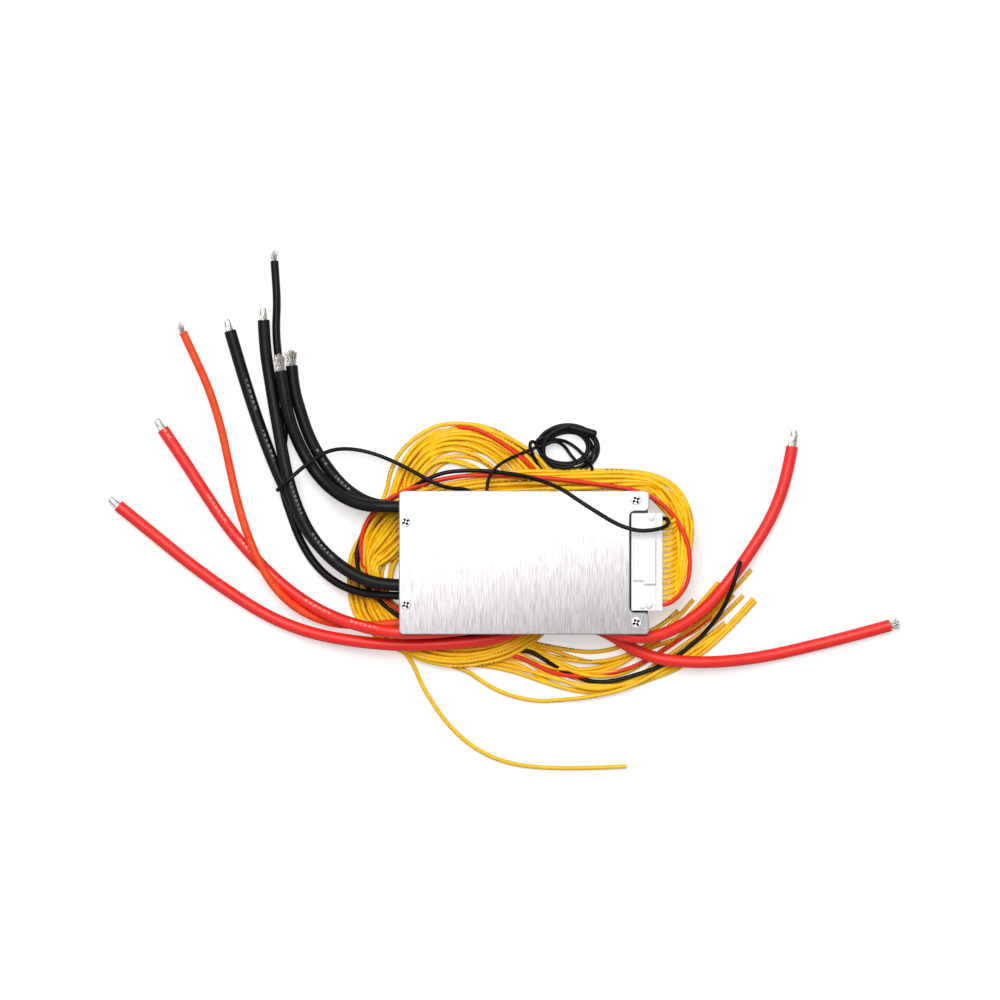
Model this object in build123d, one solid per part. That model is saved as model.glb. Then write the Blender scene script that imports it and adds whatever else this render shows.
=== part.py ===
from build123d import *

import math
import os

# Battery management board: a brushed aluminium cover screwed over a circuit board, standing on
# four threaded spacers, with its thick power cables, its balance harness and two thin leads.
# Millimetres, +Z up, origin on the floor under the middle of the board's assembly.

# Cover plate
COVER_LENGTH = 92.2
COVER_WIDTH = 53.0
COVER_THICKNESS = 1.5
COVER_CORNER_RADIUS = 1.7
COVER_EDGE_CHAMFER = 0.3
NOTCH_DEPTH = 7.2
NOTCH_CLEARANCE = 0.75
NOTCH_CENTRE_Y = 0.3
NOTCH_CORNER_RADIUS = 2.0
TAB_CORNER_RADIUS = 1.9

# Screws and spacers
SCREW_LEFT_INSET = 2.5
SCREW_RIGHT_INSET = 4.8
SCREWS_LEFT_EDGE_INSETS = (11.4, 11.1)
SCREWS_RIGHT_EDGE_INSETS = (3.4, 4.5)
SCREW_HEAD_DIAMETER = 3.9
SCREW_HEAD_HEIGHT = 1.3
SCREW_HEAD_DOME = 0.5
SCREW_SHANK_DIAMETER = 1.9
SCREW_LENGTH = 4.0
CROSS_SLOT_LENGTH = 2.2
CROSS_SLOT_WIDTH = 0.55
CROSS_SLOT_DEPTH = 0.8
CLEARANCE_HOLE_DIAMETER = 2.2
SPACER_DIAMETER = 3.0
SPACER_BORE_DIAMETER = 2.0
SPACER_CHAMFER = 0.25
UPPER_SPACER_HEIGHT = 5.0
LEG_HEIGHT = 12.0
LEG_STUD_DIAMETER = 1.9
LEG_STUD_REACH = 2.0
LEG_HOLE_DIAMETER = 1.6
LEG_HOLE_DEPTH = 5.0

# Circuit board
BOARD_THICKNESS = 1.6
BOARD_LEFT_INSET = 0.8
BOARD_EDGE_INSET = 0.9
BOARD_CORNER_RADIUS = 1.2

# Balance connector: header on the board, plug in the header, one wire per pin
PIN_COUNT = 17
PIN_PITCH = 2.0
PIN_WIDTH = 0.5
PIN_TAIL_DEPTH = 1.2
HEADER_OVERHANG = 2.4
HEADER_END_MARGIN = 1.95
HEADER_DEPTH = 8.9
HEADER_HEIGHT = 4.8
HEADER_WALL = 0.7
HEADER_BACK_WALL = 2.0
HEADER_TO_BOARD_EDGE = 2.7
ROOF_SEAM_SIZE = (0.35, 0.3)
ROOF_SEAM_INSET = 5.2
ROOF_RIB_WIDTH = 1.4
ROOF_RECESS_SIZE = (4.5, 7.4)
ROOF_RECESS_END_INSET = 1.9
PLUG_FIT = 0.1
PLUG_PROTRUSION = 2.6
PLUG_CHAMFER = 0.3
LOCK_WIDTH = 16.0
LOCK_STEP_WIDTH = 14.7
LOCK_STEP_DEPTH = 3.9
LOCK_DEPTH = 8.3
LOCK_HEIGHT = 1.3
LOCK_OFFSET_Y = -0.3
WIRE_DIAMETER = 1.6
WIRE_SOCKET_DIAMETER = 1.66
WIRE_SOCKET_DEPTH = 1.8

# Power stage between board and cover
MOSFET_COUNT = 5
MOSFET_PITCH = 12.0
MOSFET_ROWS_Y = (10.5, -9.5)
MOSFET_ROW_CENTRE_X = -6.0
MOSFET_BODY = (10.2, 8.7, 4.2)
MOSFET_BEVEL = 0.8
MOSFET_TAB_THICKNESS = 1.3
MOSFET_TAB_REACH = 1.4
MOSFET_LEAD_WIDTH = 0.9
MOSFET_LEAD_SPACING = 5.08
MOSFET_LEAD_REACH = 3.6
MOSFET_LEAD_THICKNESS = 0.5
PAD_FIT = 0.05
SHUNT_COUNT = 4
SHUNT_SIZE = (6.3, 3.1, 1.0)
SHUNT_STRIP = 0.4
SHUNT_PITCH = 9.0
SHUNT_ROW_Y = 0.5

# Cells' balance circuit
BLEED_ROWS = 2
BLEED_COLUMNS = 8
BLEED_PITCH = (7.6, 4.6)
BLEED_SIZE = (6.3, 3.1, 0.6)
BLEED_CENTRE = (-8.0, 7.5)
CHIP_SIZE = (9.0, 9.0, 1.5)
CHIP_TO_HEADER = 0.7
CHIP_Y = 4.0
CHIP_BEVEL = 0.4
CHIP_STANDOFF = 0.12
CHIP_LEADS_PER_SIDE = 8
CHIP_LEAD = (1.2, 0.4, 0.2)
CHIP_LEAD_PITCH = 1.0
AMPLIFIER_SIZE = (5.0, 4.0, 1.4)
AMPLIFIERS_Y = (-8.5, -15.0)
CAPACITOR_DIAMETER = 4.0
CAPACITOR_HEIGHT = 4.4
CAPACITOR_BASE = 0.8
CAPACITORS_X = (-6.0, 2.0, 10.0, 18.0)
CAPACITORS_EDGE_INSET = 4.6

# Small lead headers at the board's far edge
LEAD_HEADER_SIZE = (5.2, 4.4, 3.4)
LEAD_HEADER_WALL = 0.6
SIGNAL_HEADER_X = -20.5
SENSOR_HEADER_X = -14.9
LEAD_HEADER_EDGE_INSET = 1.8
LEAD_PLUG_PROTRUSION = 0.4

# Silicone dabs on the header's roof: inset from its front, inset from one of its ends, radius
SILICONE_DABS_FAR = ((1.6, 1.7, 1.5),)
SILICONE_DABS_NEAR = ((2.4, 2.0, 1.7), (4.9, 1.4, 1.3))
DAB_SINK = 0.6

# Solder joints
SOLDER_LENGTH = 6.0
SOLDER_WIDTH = 3.6
CABLE_OFF_BOARD = 0.05

# Cables
POWER_CABLE_DIAMETER = 4.5
POWER_CORE_DIAMETER = 2.9
CHARGE_CABLE_DIAMETER = 3.0
CHARGE_CORE_DIAMETER = 1.6
CHARGE_CORE_REACH = 3.8
SIGNAL_DIAMETER = 1.5
SENSOR_DIAMETER = 1.3
STRIPPED_LENGTH = 4.6
CORNER_SHARE = 0.45

# Heights that the pieces share
BOARD_UNDERSIDE = LEG_HEIGHT
BOARD_TOP = BOARD_UNDERSIDE + BOARD_THICKNESS
COVER_UNDERSIDE = BOARD_TOP + UPPER_SPACER_HEIGHT
COVER_TOP = COVER_UNDERSIDE + COVER_THICKNESS

# Places along X that the pieces share
COVER_CENTRE_X = -HEADER_OVERHANG / 2
COVER_LEFT = COVER_CENTRE_X - COVER_LENGTH / 2
COVER_RIGHT = COVER_CENTRE_X + COVER_LENGTH / 2
HEADER_FRONT = COVER_RIGHT + HEADER_OVERHANG
BOARD_LEFT = COVER_LEFT + BOARD_LEFT_INSET
BOARD_RIGHT = HEADER_FRONT - HEADER_TO_BOARD_EDGE
BOARD_WIDTH = COVER_WIDTH - 2 * BOARD_EDGE_INSET
SCREWS = [
    (COVER_LEFT + SCREW_LEFT_INSET, COVER_WIDTH / 2 - SCREWS_LEFT_EDGE_INSETS[0]),
    (COVER_LEFT + SCREW_LEFT_INSET, SCREWS_LEFT_EDGE_INSETS[1] - COVER_WIDTH / 2),
    (COVER_RIGHT - SCREW_RIGHT_INSET, COVER_WIDTH / 2 - SCREWS_RIGHT_EDGE_INSETS[0]),
    (COVER_RIGHT - SCREW_RIGHT_INSET, SCREWS_RIGHT_EDGE_INSETS[1] - COVER_WIDTH / 2),
]
HEADER_LENGTH = (PIN_COUNT - 1) * PIN_PITCH + 2 * HEADER_END_MARGIN
NOTCH_WIDTH = HEADER_LENGTH + 2 * NOTCH_CLEARANCE
PLUG_FACE = HEADER_FRONT + PLUG_PROTRUSION
PIN_HEIGHT = BOARD_TOP + HEADER_HEIGHT / 2
CHIP_X = HEADER_FRONT - HEADER_DEPTH - CHIP_TO_HEADER - CHIP_LEAD[0] - CHIP_SIZE[0] / 2
CAPACITORS_Y = BOARD_WIDTH / 2 - CAPACITORS_EDGE_INSET
LEAD_HEADER_Y = BOARD_WIDTH / 2 - LEAD_HEADER_EDGE_INSET - LEAD_HEADER_SIZE[1] / 2

# Routes of the cables as they lie, from the soldered end to the cut end
BLACK_CABLE_1 = [
    (-43, 20.5, 15.9), (-52, 20.5, 15.9), (-61, 21, 13.6), (-69.5, 24.5, 9.6), (-77, 31, 5.6),
    (-83, 40, 3.8), (-87.5, 50, 5), (-90, 60.5, 5.7), (-91.5, 71, 5.5),
]
BLACK_CABLE_2 = [
    (-43, 20.5, 9.7), (-52, 20.5, 9.7), (-60.5, 22.5, 6.5), (-68.5, 28, 3.2), (-75.5, 36.5, 2.3),
    (-81, 46, 2.3), (-84.5, 56.5, 2.3), (-87, 65.5, 2.4), (-87.5, 73, 2.3),
]
BLACK_CABLE_3 = [
    (-43, -8.5, 15.9), (-53, -8.5, 15.9), (-63, -5.5, 14.6), (-72.5, 1, 13), (-80, 9.5, 11.8),
    (-85, 19.5, 10.8), (-88.5, 30, 9.6), (-91, 42, 7.2), (-93.5, 55, 4.2), (-95.5, 67, 2.5),
    (-97.5, 79, 2.3), (-98, 90, 2.4),
]
BLACK_CABLE_4 = [
    (-43, -8.5, 9.7), (-53, -8.5, 9.7), (-63, -5.5, 8.2), (-72.5, 1, 6.8), (-80.5, 9.5, 5.9),
    (-86, 19.5, 5.6), (-92, 31.5, 5.7), (-97.5, 45, 3.5), (-102.5, 59.5, 2.3), (-107, 74, 2.4),
    (-110.5, 86, 2.3),
]
BLACK_CHARGE_LEAD = [
    (-43, -12.4, 10.45), (-52.5, -12.4, 10.45), (-61.5, -11.5, 8.2), (-71, -8, 5), (-79, -1, 2.4),
    (-84.5, 8, 1.6), (-88, 17.5, 1.6), (-91, 26.5, 1.6), (-91.5, 35.5, 1.6), (-90.5, 45.5, 1.7),
    (-90, 55.5, 1.6), (-91, 65.5, 1.7), (-92.5, 75.5, 1.6), (-93.5, 86, 1.6), (-93, 96.5, 1.7),
    (-93.5, 105, 1.6), (-94, 112, 1.6),
]
RED_CABLE_1 = [
    (3, -22.6, 9.7), (-5, -26.1, 9.7), (-14, -28.7, 9.4), (-28, -30.2, 8.8), (-45.5, -31, 8.2),
    (-63, -29.6, 7.4), (-80.5, -26.5, 4.6), (-96, -20.5, 2.5), (-111, -11, 2.3), (-125, -1, 2.4),
    (-139, 10.5, 2.3), (-152, 21, 2.4),
]
RED_CABLE_2 = [
    (-5, -20.9, 15.9), (-16, -23.6, 15.9), (-30, -25.6, 15.9), (-47, -26.3, 16.2), (-61, -24, 12.6),
    (-75.5, -19, 8), (-89.5, -10, 3.6), (-101, 1, 2.4), (-111, 12.5, 2.3), (-120, 26, 2.4),
    (-128, 38.5, 2.3), (-135.5, 49.5, 2.4),
]
RED_CHARGE_LEAD = [
    (-19.5, -18.5, 10.45), (-33.5, -21, 10.45), (-47.5, -22.5, 8.2), (-60, -23.6, 6.9),
    (-73, -23, 4.3), (-85, -18, 5.6), (-94, -9.5, 7.5), (-100, 1, 7.2), (-104.5, 12, 5.4),
    (-108, 23.5, 3), (-111, 37, 1.7), (-114, 51, 1.6), (-118.5, 65, 1.7), (-124, 77, 1.6),
    (-128, 85.5, 1.6),
]
RED_CABLE_3 = [
    (16, -20.2, 15.9), (25, -22.8, 15.9), (34.5, -26.8, 15.9), (45, -28.4, 14.6), (56.5, -24, 11.4),
    (66.5, -17, 8.4), (75, -6.5, 6.3), (82.5, 5.5, 4.6), (89, 19, 2.6), (94.5, 32.5, 2.3),
    (98.5, 43, 2.4),
]
RED_CABLE_4 = [
    (13, -22.6, 9.7), (21, -23, 9.7), (30, -26, 8.4), (38.5, -32, 6.6), (48, -35.9, 6.1),
    (60, -37.2, 6), (74, -37, 4.8), (89, -35, 2.7), (104.5, -31.5, 2.3), (120.5, -27.5, 2.4),
    (135, -23.5, 2.3),
]
SIGNAL_LEAD = [
    (-20.5, 24.2, 15.3), (-20.5, 25.4, 15.3), (-21.6, 26.6, 15), (-24.2, 27.2, 14.1),
    (-28.6, 27.4, 12.6), (-34, 29, 10.6), (-41, 33, 8.6), (-49, 37.2, 6.6), (-58, 40.8, 4.4),
    (-66.5, 42.3, 5), (-73, 41.6, 7.8), (-78, 39, 9.6), (-83, 35.2, 11.4), (-86.6, 32, 13),
    (-90, 29, 13), (-92.6, 26.6, 10.8),
]
SENSOR_LEAD = [
    (-14.9, 24.2, 15.3), (-14.9, 26.2, 15.3), (-14.8, 28.6, 14.3), (-14.2, 31.2, 12.8),
    (-12.8, 33.8, 11.4), (-10.4, 36.2, 9), (-7, 38.2, 6), (-3.4, 39.8, 3.8), (0, 41.3, 2.8),
    (2.9, 42.4, 2.6),
]
BALANCE_BLACK = [
    (48.1, 16.3, 16), (50.7, 16.3, 16), (52.6, 15.9, 17.6), (53.1, 14.6, 20.2), (51.2, 13, 22.4),
    (46.6, 12, 23.4), (40.5, 11.6, 23.6), (33.5, 13.8, 23.3), (26.5, 18, 23.2), (19.6, 22.4, 23),
    (13.2, 26.8, 22), (7, 29.6, 18.4), (0.4, 31.6, 13.6), (-7, 33, 9.8), (-15, 33.9, 8.1),
    (-23.4, 34, 7.8), (-30.4, 33.4, 7.9), (-36, 31.4, 7.8),
]
YELLOW_LONG_TAIL = [
    (-41.2, -37.6, 2.4), (-39.8, -42, 1), (-36.8, -48.8, 0.9), (-32.7, -55.8, 0.9),
    (-27.5, -62.5, 0.9), (-20.8, -68.4, 0.9), (-12.6, -73, 0.9), (-3, -75.7, 0.9),
    (7.8, -76.6, 0.9), (19.4, -76.7, 0.9), (29, -76.4, 0.9), (37, -76, 0.9),
]
YELLOW_LOW_TAIL = [
    (-22.7, -39.9, 1.8), (-17, -44.4, 1), (-10.3, -48.2, 0.9), (-3.2, -50.6, 0.9),
    (4.8, -51.8, 0.9), (11.6, -51.4, 0.9),
]

# Outlines of the bundled wires: the turns round the board, the fan at the plug and the tails
BUNDLE_HEIGHT = 5.0
BUNDLE_CROSSING_HEIGHT = 6.9
BUNDLE_FAN_HEIGHT = 1.8
TAILS_HEIGHT = 3.4
TURNS_OUTSIDE = [
    (36.5, 33.8), (12, 34), (2.6, 36.4), (-2.5, 43.6), (-10.5, 49), (-25.3, 52.2), (-38.2, 48.6),
    (-48, 40.1), (-52.2, 27.5), (-61.5, 13), (-66, 0), (-66.2, -13), (-62.4, -22), (-57.2, -28.2),
    (-49.3, -33.2), (-39.7, -37), (-25, -39.2), (-10, -36.8), (2, -31.4), (14, -21.5), (20.5, -6),
    (20, 11), (12.5, 24.9), (36.5, 25.4),
]
TURNS_INSIDE = [
    (-40, 23.4), (3, 23), (12, 13), (12.4, -2), (5, -15), (-7, -22.4), (-22, -24.8), (-38, -24.2),
    (-47.4, -19), (-48, 1), (-47.4, 18),
]
CROSSING_OUTLINE = [(12, 24.9), (12, 33.8), (-34, 33.8), (-40, 31), (-40, 25.5), (-34, 24.9)]
FAN_LOBE_OUTLINE = [
    (-48, 31), (-2, 33.8), (3.4, 36), (3.6, 40), (-2, 45), (-10.5, 49), (-25.3, 52),
    (-38.2, 48.6), (-48, 40.1),
]
TAILS_OUTLINE = [
    (-5.6, -38), (5, -46.5), (19.5, -51.4), (34.5, -51.2), (48.4, -45), (59.2, -39.2),
    (70, -31.4), (79, -22), (85.5, -14.8), (83.4, -2.6), (71, -7.4), (61.8, -13.2),
    (56.3, -17.4), (47.5, -25), (38, -31), (27, -34.6), (16, -34.4), (6.8, -29.6),
]
RUN_DIAMETER = 8.0
HARNESS_RUN = [
    (58.6, -12, 13.2), (60.2, -4, 11.8), (60.2, 4.4, 9.8), (58.6, 12.8, 7.6), (55, 20.4, 5.8),
    (49.6, 26, 4.6), (43, 28.9, 4.1), (36.8, 29.3, 4.1),
]
PLUG_FAN_OUTLINE = [(49.9, 15.2), (49.9, -15.8), (53.2, -14.6), (54.6, -10), (55.8, -2), (55.4, 10)]
PLUG_FAN_THICKNESS = 3.4

# Coiled sensor lead and its head
SENSOR_COIL_CENTRE = (15.1, 43.2)
SENSOR_COIL_RADII = (11.4, 8.8)
SENSOR_COIL_BAND = 3.6
SENSOR_COIL_HEIGHT = 4.4
SENSOR_COIL_EDGE = 1.2
SENSOR_HEAD_DIAMETER = 2.8
SENSOR_HEAD_FROM = (15.5, 50.4)
SENSOR_HEAD_TO = (25.8, 47.4)


def upright(radius, bottom, height):
    """Cylinder standing on the height given."""
    return Pos(0, 0, bottom) * Cylinder(radius, height, align=(Align.CENTER, Align.CENTER, Align.MIN))


def block(size, centre_x, centre_y, bottom):
    """Box standing on the height given."""
    standing = Box(*size, align=(Align.CENTER, Align.CENTER, Align.MIN))
    return Pos(centre_x, centre_y, bottom) * standing


def cover_plate():
    """Sheet with rounded corners, a notch for the connector and a broken upper edge."""
    outline = RectangleRounded(COVER_LENGTH, COVER_WIDTH, COVER_CORNER_RADIUS)
    notch = Pos(COVER_LENGTH / 2, NOTCH_CENTRE_Y) * RectangleRounded(
        2 * NOTCH_DEPTH, NOTCH_WIDTH, NOTCH_CORNER_RADIUS
    )
    sheet = outline - notch
    notch_ends = (NOTCH_CENTRE_Y + NOTCH_WIDTH / 2, NOTCH_CENTRE_Y - NOTCH_WIDTH / 2)
    tab_corners = [
        vertex
        for vertex in sheet.vertices()
        for end in notch_ends
        if abs(vertex.X - COVER_LENGTH / 2) < 0.01 and abs(vertex.Y - end) < 0.01
    ]
    tab_wall = COVER_WIDTH / 2 - max(abs(end) for end in notch_ends) - COVER_CORNER_RADIUS
    sheet = fillet(tab_corners, min(TAB_CORNER_RADIUS, 0.9 * tab_wall))
    plate = extrude(sheet, COVER_THICKNESS)
    plate = chamfer(plate.edges().group_by(Axis.Z)[-1], COVER_EDGE_CHAMFER)
    plate = Pos(COVER_CENTRE_X, 0, COVER_UNDERSIDE) * plate
    for x, y in SCREWS:
        plate -= Pos(x, y) * upright(CLEARANCE_HOLE_DIAMETER / 2, COVER_UNDERSIDE, COVER_THICKNESS)
    return plate


def cover_screw():
    """Pan-head screw with a cross recess, its head's underside at the cover's top."""
    head = upright(SCREW_HEAD_DIAMETER / 2, COVER_TOP, SCREW_HEAD_HEIGHT)
    head = fillet(head.edges().group_by(Axis.Z)[-1], SCREW_HEAD_DOME)
    slot = Box(
        CROSS_SLOT_LENGTH, CROSS_SLOT_WIDTH, CROSS_SLOT_DEPTH,
        align=(Align.CENTER, Align.CENTER, Align.MAX),
    )
    crown = COVER_TOP + SCREW_HEAD_HEIGHT
    recess = Pos(0, 0, crown) * Rot(0, 0, 30) * (slot + Rot(0, 0, 90) * slot)
    shank = upright(SCREW_SHANK_DIAMETER / 2, COVER_TOP - SCREW_LENGTH, SCREW_LENGTH)
    return head + shank - recess


def upper_spacer():
    """Round spacer between board and cover, threaded right through."""
    body = upright(SPACER_DIAMETER / 2, BOARD_TOP, UPPER_SPACER_HEIGHT)
    return body - upright(SPACER_BORE_DIAMETER / 2, BOARD_TOP, UPPER_SPACER_HEIGHT)


def leg():
    """Round spacer under the board, with a stud through it and a threaded hole in its foot."""
    body = upright(SPACER_DIAMETER / 2, 0, LEG_HEIGHT)
    body = chamfer(body.edges().group_by(Axis.Z)[0], SPACER_CHAMFER)
    body += upright(LEG_STUD_DIAMETER / 2, LEG_HEIGHT, BOARD_THICKNESS + LEG_STUD_REACH)
    return body - upright(LEG_HOLE_DIAMETER / 2, 0, LEG_HOLE_DEPTH)


def at_screws(piece):
    """One copy of a fastener at each of the cover's corners."""
    return Compound(children=[Pos(x, y) * piece for x, y in SCREWS])


def pin_places():
    """Height of each pin's line along Y, from the far end to the near end."""
    first = NOTCH_CENTRE_Y + (PIN_COUNT - 1) * PIN_PITCH / 2
    return [first - index * PIN_PITCH for index in range(PIN_COUNT)]


def circuit_board():
    """Glass-epoxy board with clearance holes for the studs and a drilled row for the header."""
    length = BOARD_RIGHT - BOARD_LEFT
    middle = (BOARD_LEFT + BOARD_RIGHT) / 2
    sheet = RectangleRounded(length, BOARD_WIDTH, BOARD_CORNER_RADIUS)
    board = Pos(middle, 0, BOARD_UNDERSIDE) * extrude(sheet, BOARD_THICKNESS)
    for x, y in SCREWS:
        board -= Pos(x, y) * upright(CLEARANCE_HOLE_DIAMETER / 2, BOARD_UNDERSIDE, BOARD_THICKNESS)
    for y in pin_places():
        hole = block((PIN_WIDTH, PIN_WIDTH, BOARD_THICKNESS), pin_tail_x(), y, BOARD_UNDERSIDE)
        board -= hole
    return board


def pin_tail_x():
    """Where the header's pins turn down into the board."""
    return HEADER_FRONT - HEADER_DEPTH + HEADER_BACK_WALL / 2


def balance_header():
    """Side-entry shrouded header: a long open-fronted housing with relief lines in its roof."""
    middle = HEADER_FRONT - HEADER_DEPTH / 2
    shell = block((HEADER_DEPTH, HEADER_LENGTH, HEADER_HEIGHT), middle, NOTCH_CENTRE_Y, BOARD_TOP)
    shell = chamfer(shell.edges().filter_by(Axis.Z), PLUG_CHAMFER)
    cavity_depth = HEADER_DEPTH - HEADER_BACK_WALL
    cavity = block(
        (cavity_depth, HEADER_LENGTH - 2 * HEADER_WALL, HEADER_HEIGHT - 2 * HEADER_WALL),
        HEADER_FRONT - cavity_depth / 2, NOTCH_CENTRE_Y, BOARD_TOP + HEADER_WALL,
    )
    shell -= cavity
    for y in pin_places():
        shell -= Pos(0, y) * pin_shape()
    return shell - roof_relief()


def roof_relief():
    """Moulded relief in the header's roof: a long seam, the line of its end rib, a shallow pocket."""
    width, depth = ROOF_SEAM_SIZE
    floor = BOARD_TOP + HEADER_HEIGHT - depth
    far_end = NOTCH_CENTRE_Y + HEADER_LENGTH / 2
    near_end = NOTCH_CENTRE_Y - HEADER_LENGTH / 2
    seam_x = HEADER_FRONT - ROOF_SEAM_INSET
    seam = block(
        (width, HEADER_LENGTH - 2 * ROOF_RIB_WIDTH, depth), seam_x, NOTCH_CENTRE_Y, floor
    )
    across = HEADER_DEPTH - 2 * HEADER_WALL
    rib_line = block(
        (across, width, depth), HEADER_FRONT - HEADER_DEPTH / 2, far_end - ROOF_RIB_WIDTH, floor
    )
    pocket_y = near_end + ROOF_RECESS_END_INSET + ROOF_RECESS_SIZE[1] / 2
    pocket = block((*ROOF_RECESS_SIZE, depth), seam_x + ROOF_RECESS_SIZE[0] / 2, pocket_y, floor)
    return seam + rib_line + pocket


def pin_shape():
    """Square pin from inside the header's mouth, turned down through the board."""
    tip = HEADER_FRONT - HEADER_WALL
    heel = pin_tail_x() - PIN_WIDTH / 2
    level = block(
        (tip - heel, PIN_WIDTH, PIN_WIDTH), (tip + heel) / 2, 0, PIN_HEIGHT - PIN_WIDTH / 2
    )
    foot = BOARD_UNDERSIDE - PIN_TAIL_DEPTH
    tail = block((PIN_WIDTH, PIN_WIDTH, PIN_HEIGHT - foot), pin_tail_x(), 0, foot)
    return level + tail


def header_pins():
    return Compound(children=[Pos(0, y) * pin_shape() for y in pin_places()])


def header_lock():
    """Raised lock on the header's roof, with its shorter rear step and the groove across it."""
    centre_y = NOTCH_CENTRE_Y + LOCK_OFFSET_Y
    roof = BOARD_TOP + HEADER_HEIGHT
    rear_depth = LOCK_STEP_DEPTH
    front_depth = LOCK_DEPTH - rear_depth
    far_edge = centre_y + LOCK_WIDTH / 2
    rear = block(
        (rear_depth, LOCK_STEP_WIDTH, LOCK_HEIGHT),
        HEADER_FRONT - front_depth - rear_depth / 2, far_edge - LOCK_STEP_WIDTH / 2, roof,
    )
    nose_x = HEADER_FRONT - front_depth / 2
    nose = block((front_depth, LOCK_WIDTH, LOCK_HEIGHT), nose_x, centre_y, roof)
    return chamfer((rear + nose).edges().group_by(Axis.Z)[-1], PLUG_CHAMFER)


def silicone_dabs():
    """Low domes of sealing silicone on the header's roof."""
    roof = BOARD_TOP + HEADER_HEIGHT
    far_end = NOTCH_CENTRE_Y + HEADER_LENGTH / 2
    near_end = NOTCH_CENTRE_Y - HEADER_LENGTH / 2
    places = [(front, far_end - inset, radius) for front, inset, radius in SILICONE_DABS_FAR]
    places += [(front, near_end + inset, radius) for front, inset, radius in SILICONE_DABS_NEAR]
    domes = []
    for front, y, radius in places:
        x = HEADER_FRONT - front
        ball = Pos(x, y, roof - DAB_SINK) * Sphere(radius)
        domes.append(ball - block((2 * radius, 2 * radius, 2 * radius), x, y, roof - 2 * radius))
    return Compound(children=domes)


def balance_plug():
    """Plug housing that fills the header's mouth and stands out of it, with a socket per wire."""
    inner = HEADER_LENGTH - 2 * HEADER_WALL - 2 * PLUG_FIT
    tall = HEADER_HEIGHT - 2 * HEADER_WALL - 2 * PLUG_FIT
    depth = HEADER_DEPTH - HEADER_BACK_WALL - PLUG_FIT + PLUG_PROTRUSION
    bottom = BOARD_TOP + HEADER_WALL + PLUG_FIT
    body = block((depth, inner, tall), PLUG_FACE - depth / 2, NOTCH_CENTRE_Y, bottom)
    collar = block(
        (PLUG_PROTRUSION - PLUG_FIT, HEADER_LENGTH, tall + 2 * HEADER_WALL),
        PLUG_FACE - (PLUG_PROTRUSION - PLUG_FIT) / 2, NOTCH_CENTRE_Y, bottom - HEADER_WALL,
    )
    plug = body + chamfer(collar.edges().filter_by(Axis.Y), PLUG_CHAMFER)
    slot_depth = HEADER_DEPTH - HEADER_WALL - HEADER_BACK_WALL + PLUG_FIT
    slot_start = HEADER_FRONT - HEADER_DEPTH + HEADER_BACK_WALL
    for y in pin_places():
        slot = block(
            (slot_depth, PIN_WIDTH + PLUG_FIT, PIN_WIDTH + PLUG_FIT),
            slot_start + slot_depth / 2, y, PIN_HEIGHT - (PIN_WIDTH + PLUG_FIT) / 2,
        )
        socket = Plane(origin=(PLUG_FACE, y, PIN_HEIGHT), z_dir=(-1, 0, 0)) * Cylinder(
            WIRE_SOCKET_DIAMETER / 2, WIRE_SOCKET_DEPTH, align=(Align.CENTER, Align.CENTER, Align.MIN)
        )
        plug -= slot + socket
    return plug


def thermal_pad():
    """Soft pad that carries heat from the transistors to the cover."""
    span_x = (MOSFET_COUNT - 1) * MOSFET_PITCH + MOSFET_BODY[0]
    bottom = BOARD_TOP + MOSFET_BODY[2]
    pads = [
        block((span_x, MOSFET_BODY[1], COVER_UNDERSIDE - bottom), MOSFET_ROW_CENTRE_X, y, bottom)
        for y in MOSFET_ROWS_Y
    ]
    return Compound(children=pads)


def mosfet_places():
    start = MOSFET_ROW_CENTRE_X - (MOSFET_COUNT - 1) * MOSFET_PITCH / 2
    return [(start + index * MOSFET_PITCH, y) for y in MOSFET_ROWS_Y for index in range(MOSFET_COUNT)]


def mosfet_body():
    """Moulded body, bevelled over the leads, cut away below for the metal tab."""
    wide, long, _ = MOSFET_BODY
    body = block(MOSFET_BODY, 0, 0, BOARD_TOP)
    front_edges = body.faces().sort_by(Axis.Y)[0].edges().group_by(Axis.Z)[-1]
    body = chamfer(front_edges, MOSFET_BEVEL)
    tab_width = wide - 2 * PAD_FIT
    body -= block(
        (tab_width, long / 2, MOSFET_TAB_THICKNESS), 0, long / 4, BOARD_TOP
    )
    return body


def mosfet_metal():
    """Copper tab under the body and its two outer legs, stepped down to the board."""
    wide, long, _ = MOSFET_BODY
    tab_width = wide - 2 * PAD_FIT
    reach = long / 2 + MOSFET_TAB_REACH
    tab = block((tab_width, reach, MOSFET_TAB_THICKNESS), 0, reach / 2, BOARD_TOP)
    legs = []
    for side in (-1, 1):
        x = side * MOSFET_LEAD_SPACING / 2
        drop = MOSFET_TAB_THICKNESS + MOSFET_LEAD_THICKNESS
        upper = block(
            (MOSFET_LEAD_WIDTH, MOSFET_LEAD_REACH / 2, MOSFET_LEAD_THICKNESS),
            x, -long / 2 - MOSFET_LEAD_REACH / 4, BOARD_TOP + MOSFET_TAB_THICKNESS,
        )
        riser = block(
            (MOSFET_LEAD_WIDTH, MOSFET_LEAD_THICKNESS, drop),
            x, -long / 2 - MOSFET_LEAD_REACH / 2, BOARD_TOP,
        )
        foot = block(
            (MOSFET_LEAD_WIDTH, MOSFET_LEAD_REACH / 2, MOSFET_LEAD_THICKNESS),
            x, -long / 2 - 3 * MOSFET_LEAD_REACH / 4, BOARD_TOP,
        )
        legs.append(upper + riser + foot)
    return [tab, *legs]


def at_mosfets(pieces):
    return Compound(children=[Pos(x, y) * piece for x, y in mosfet_places() for piece in pieces])


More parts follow.
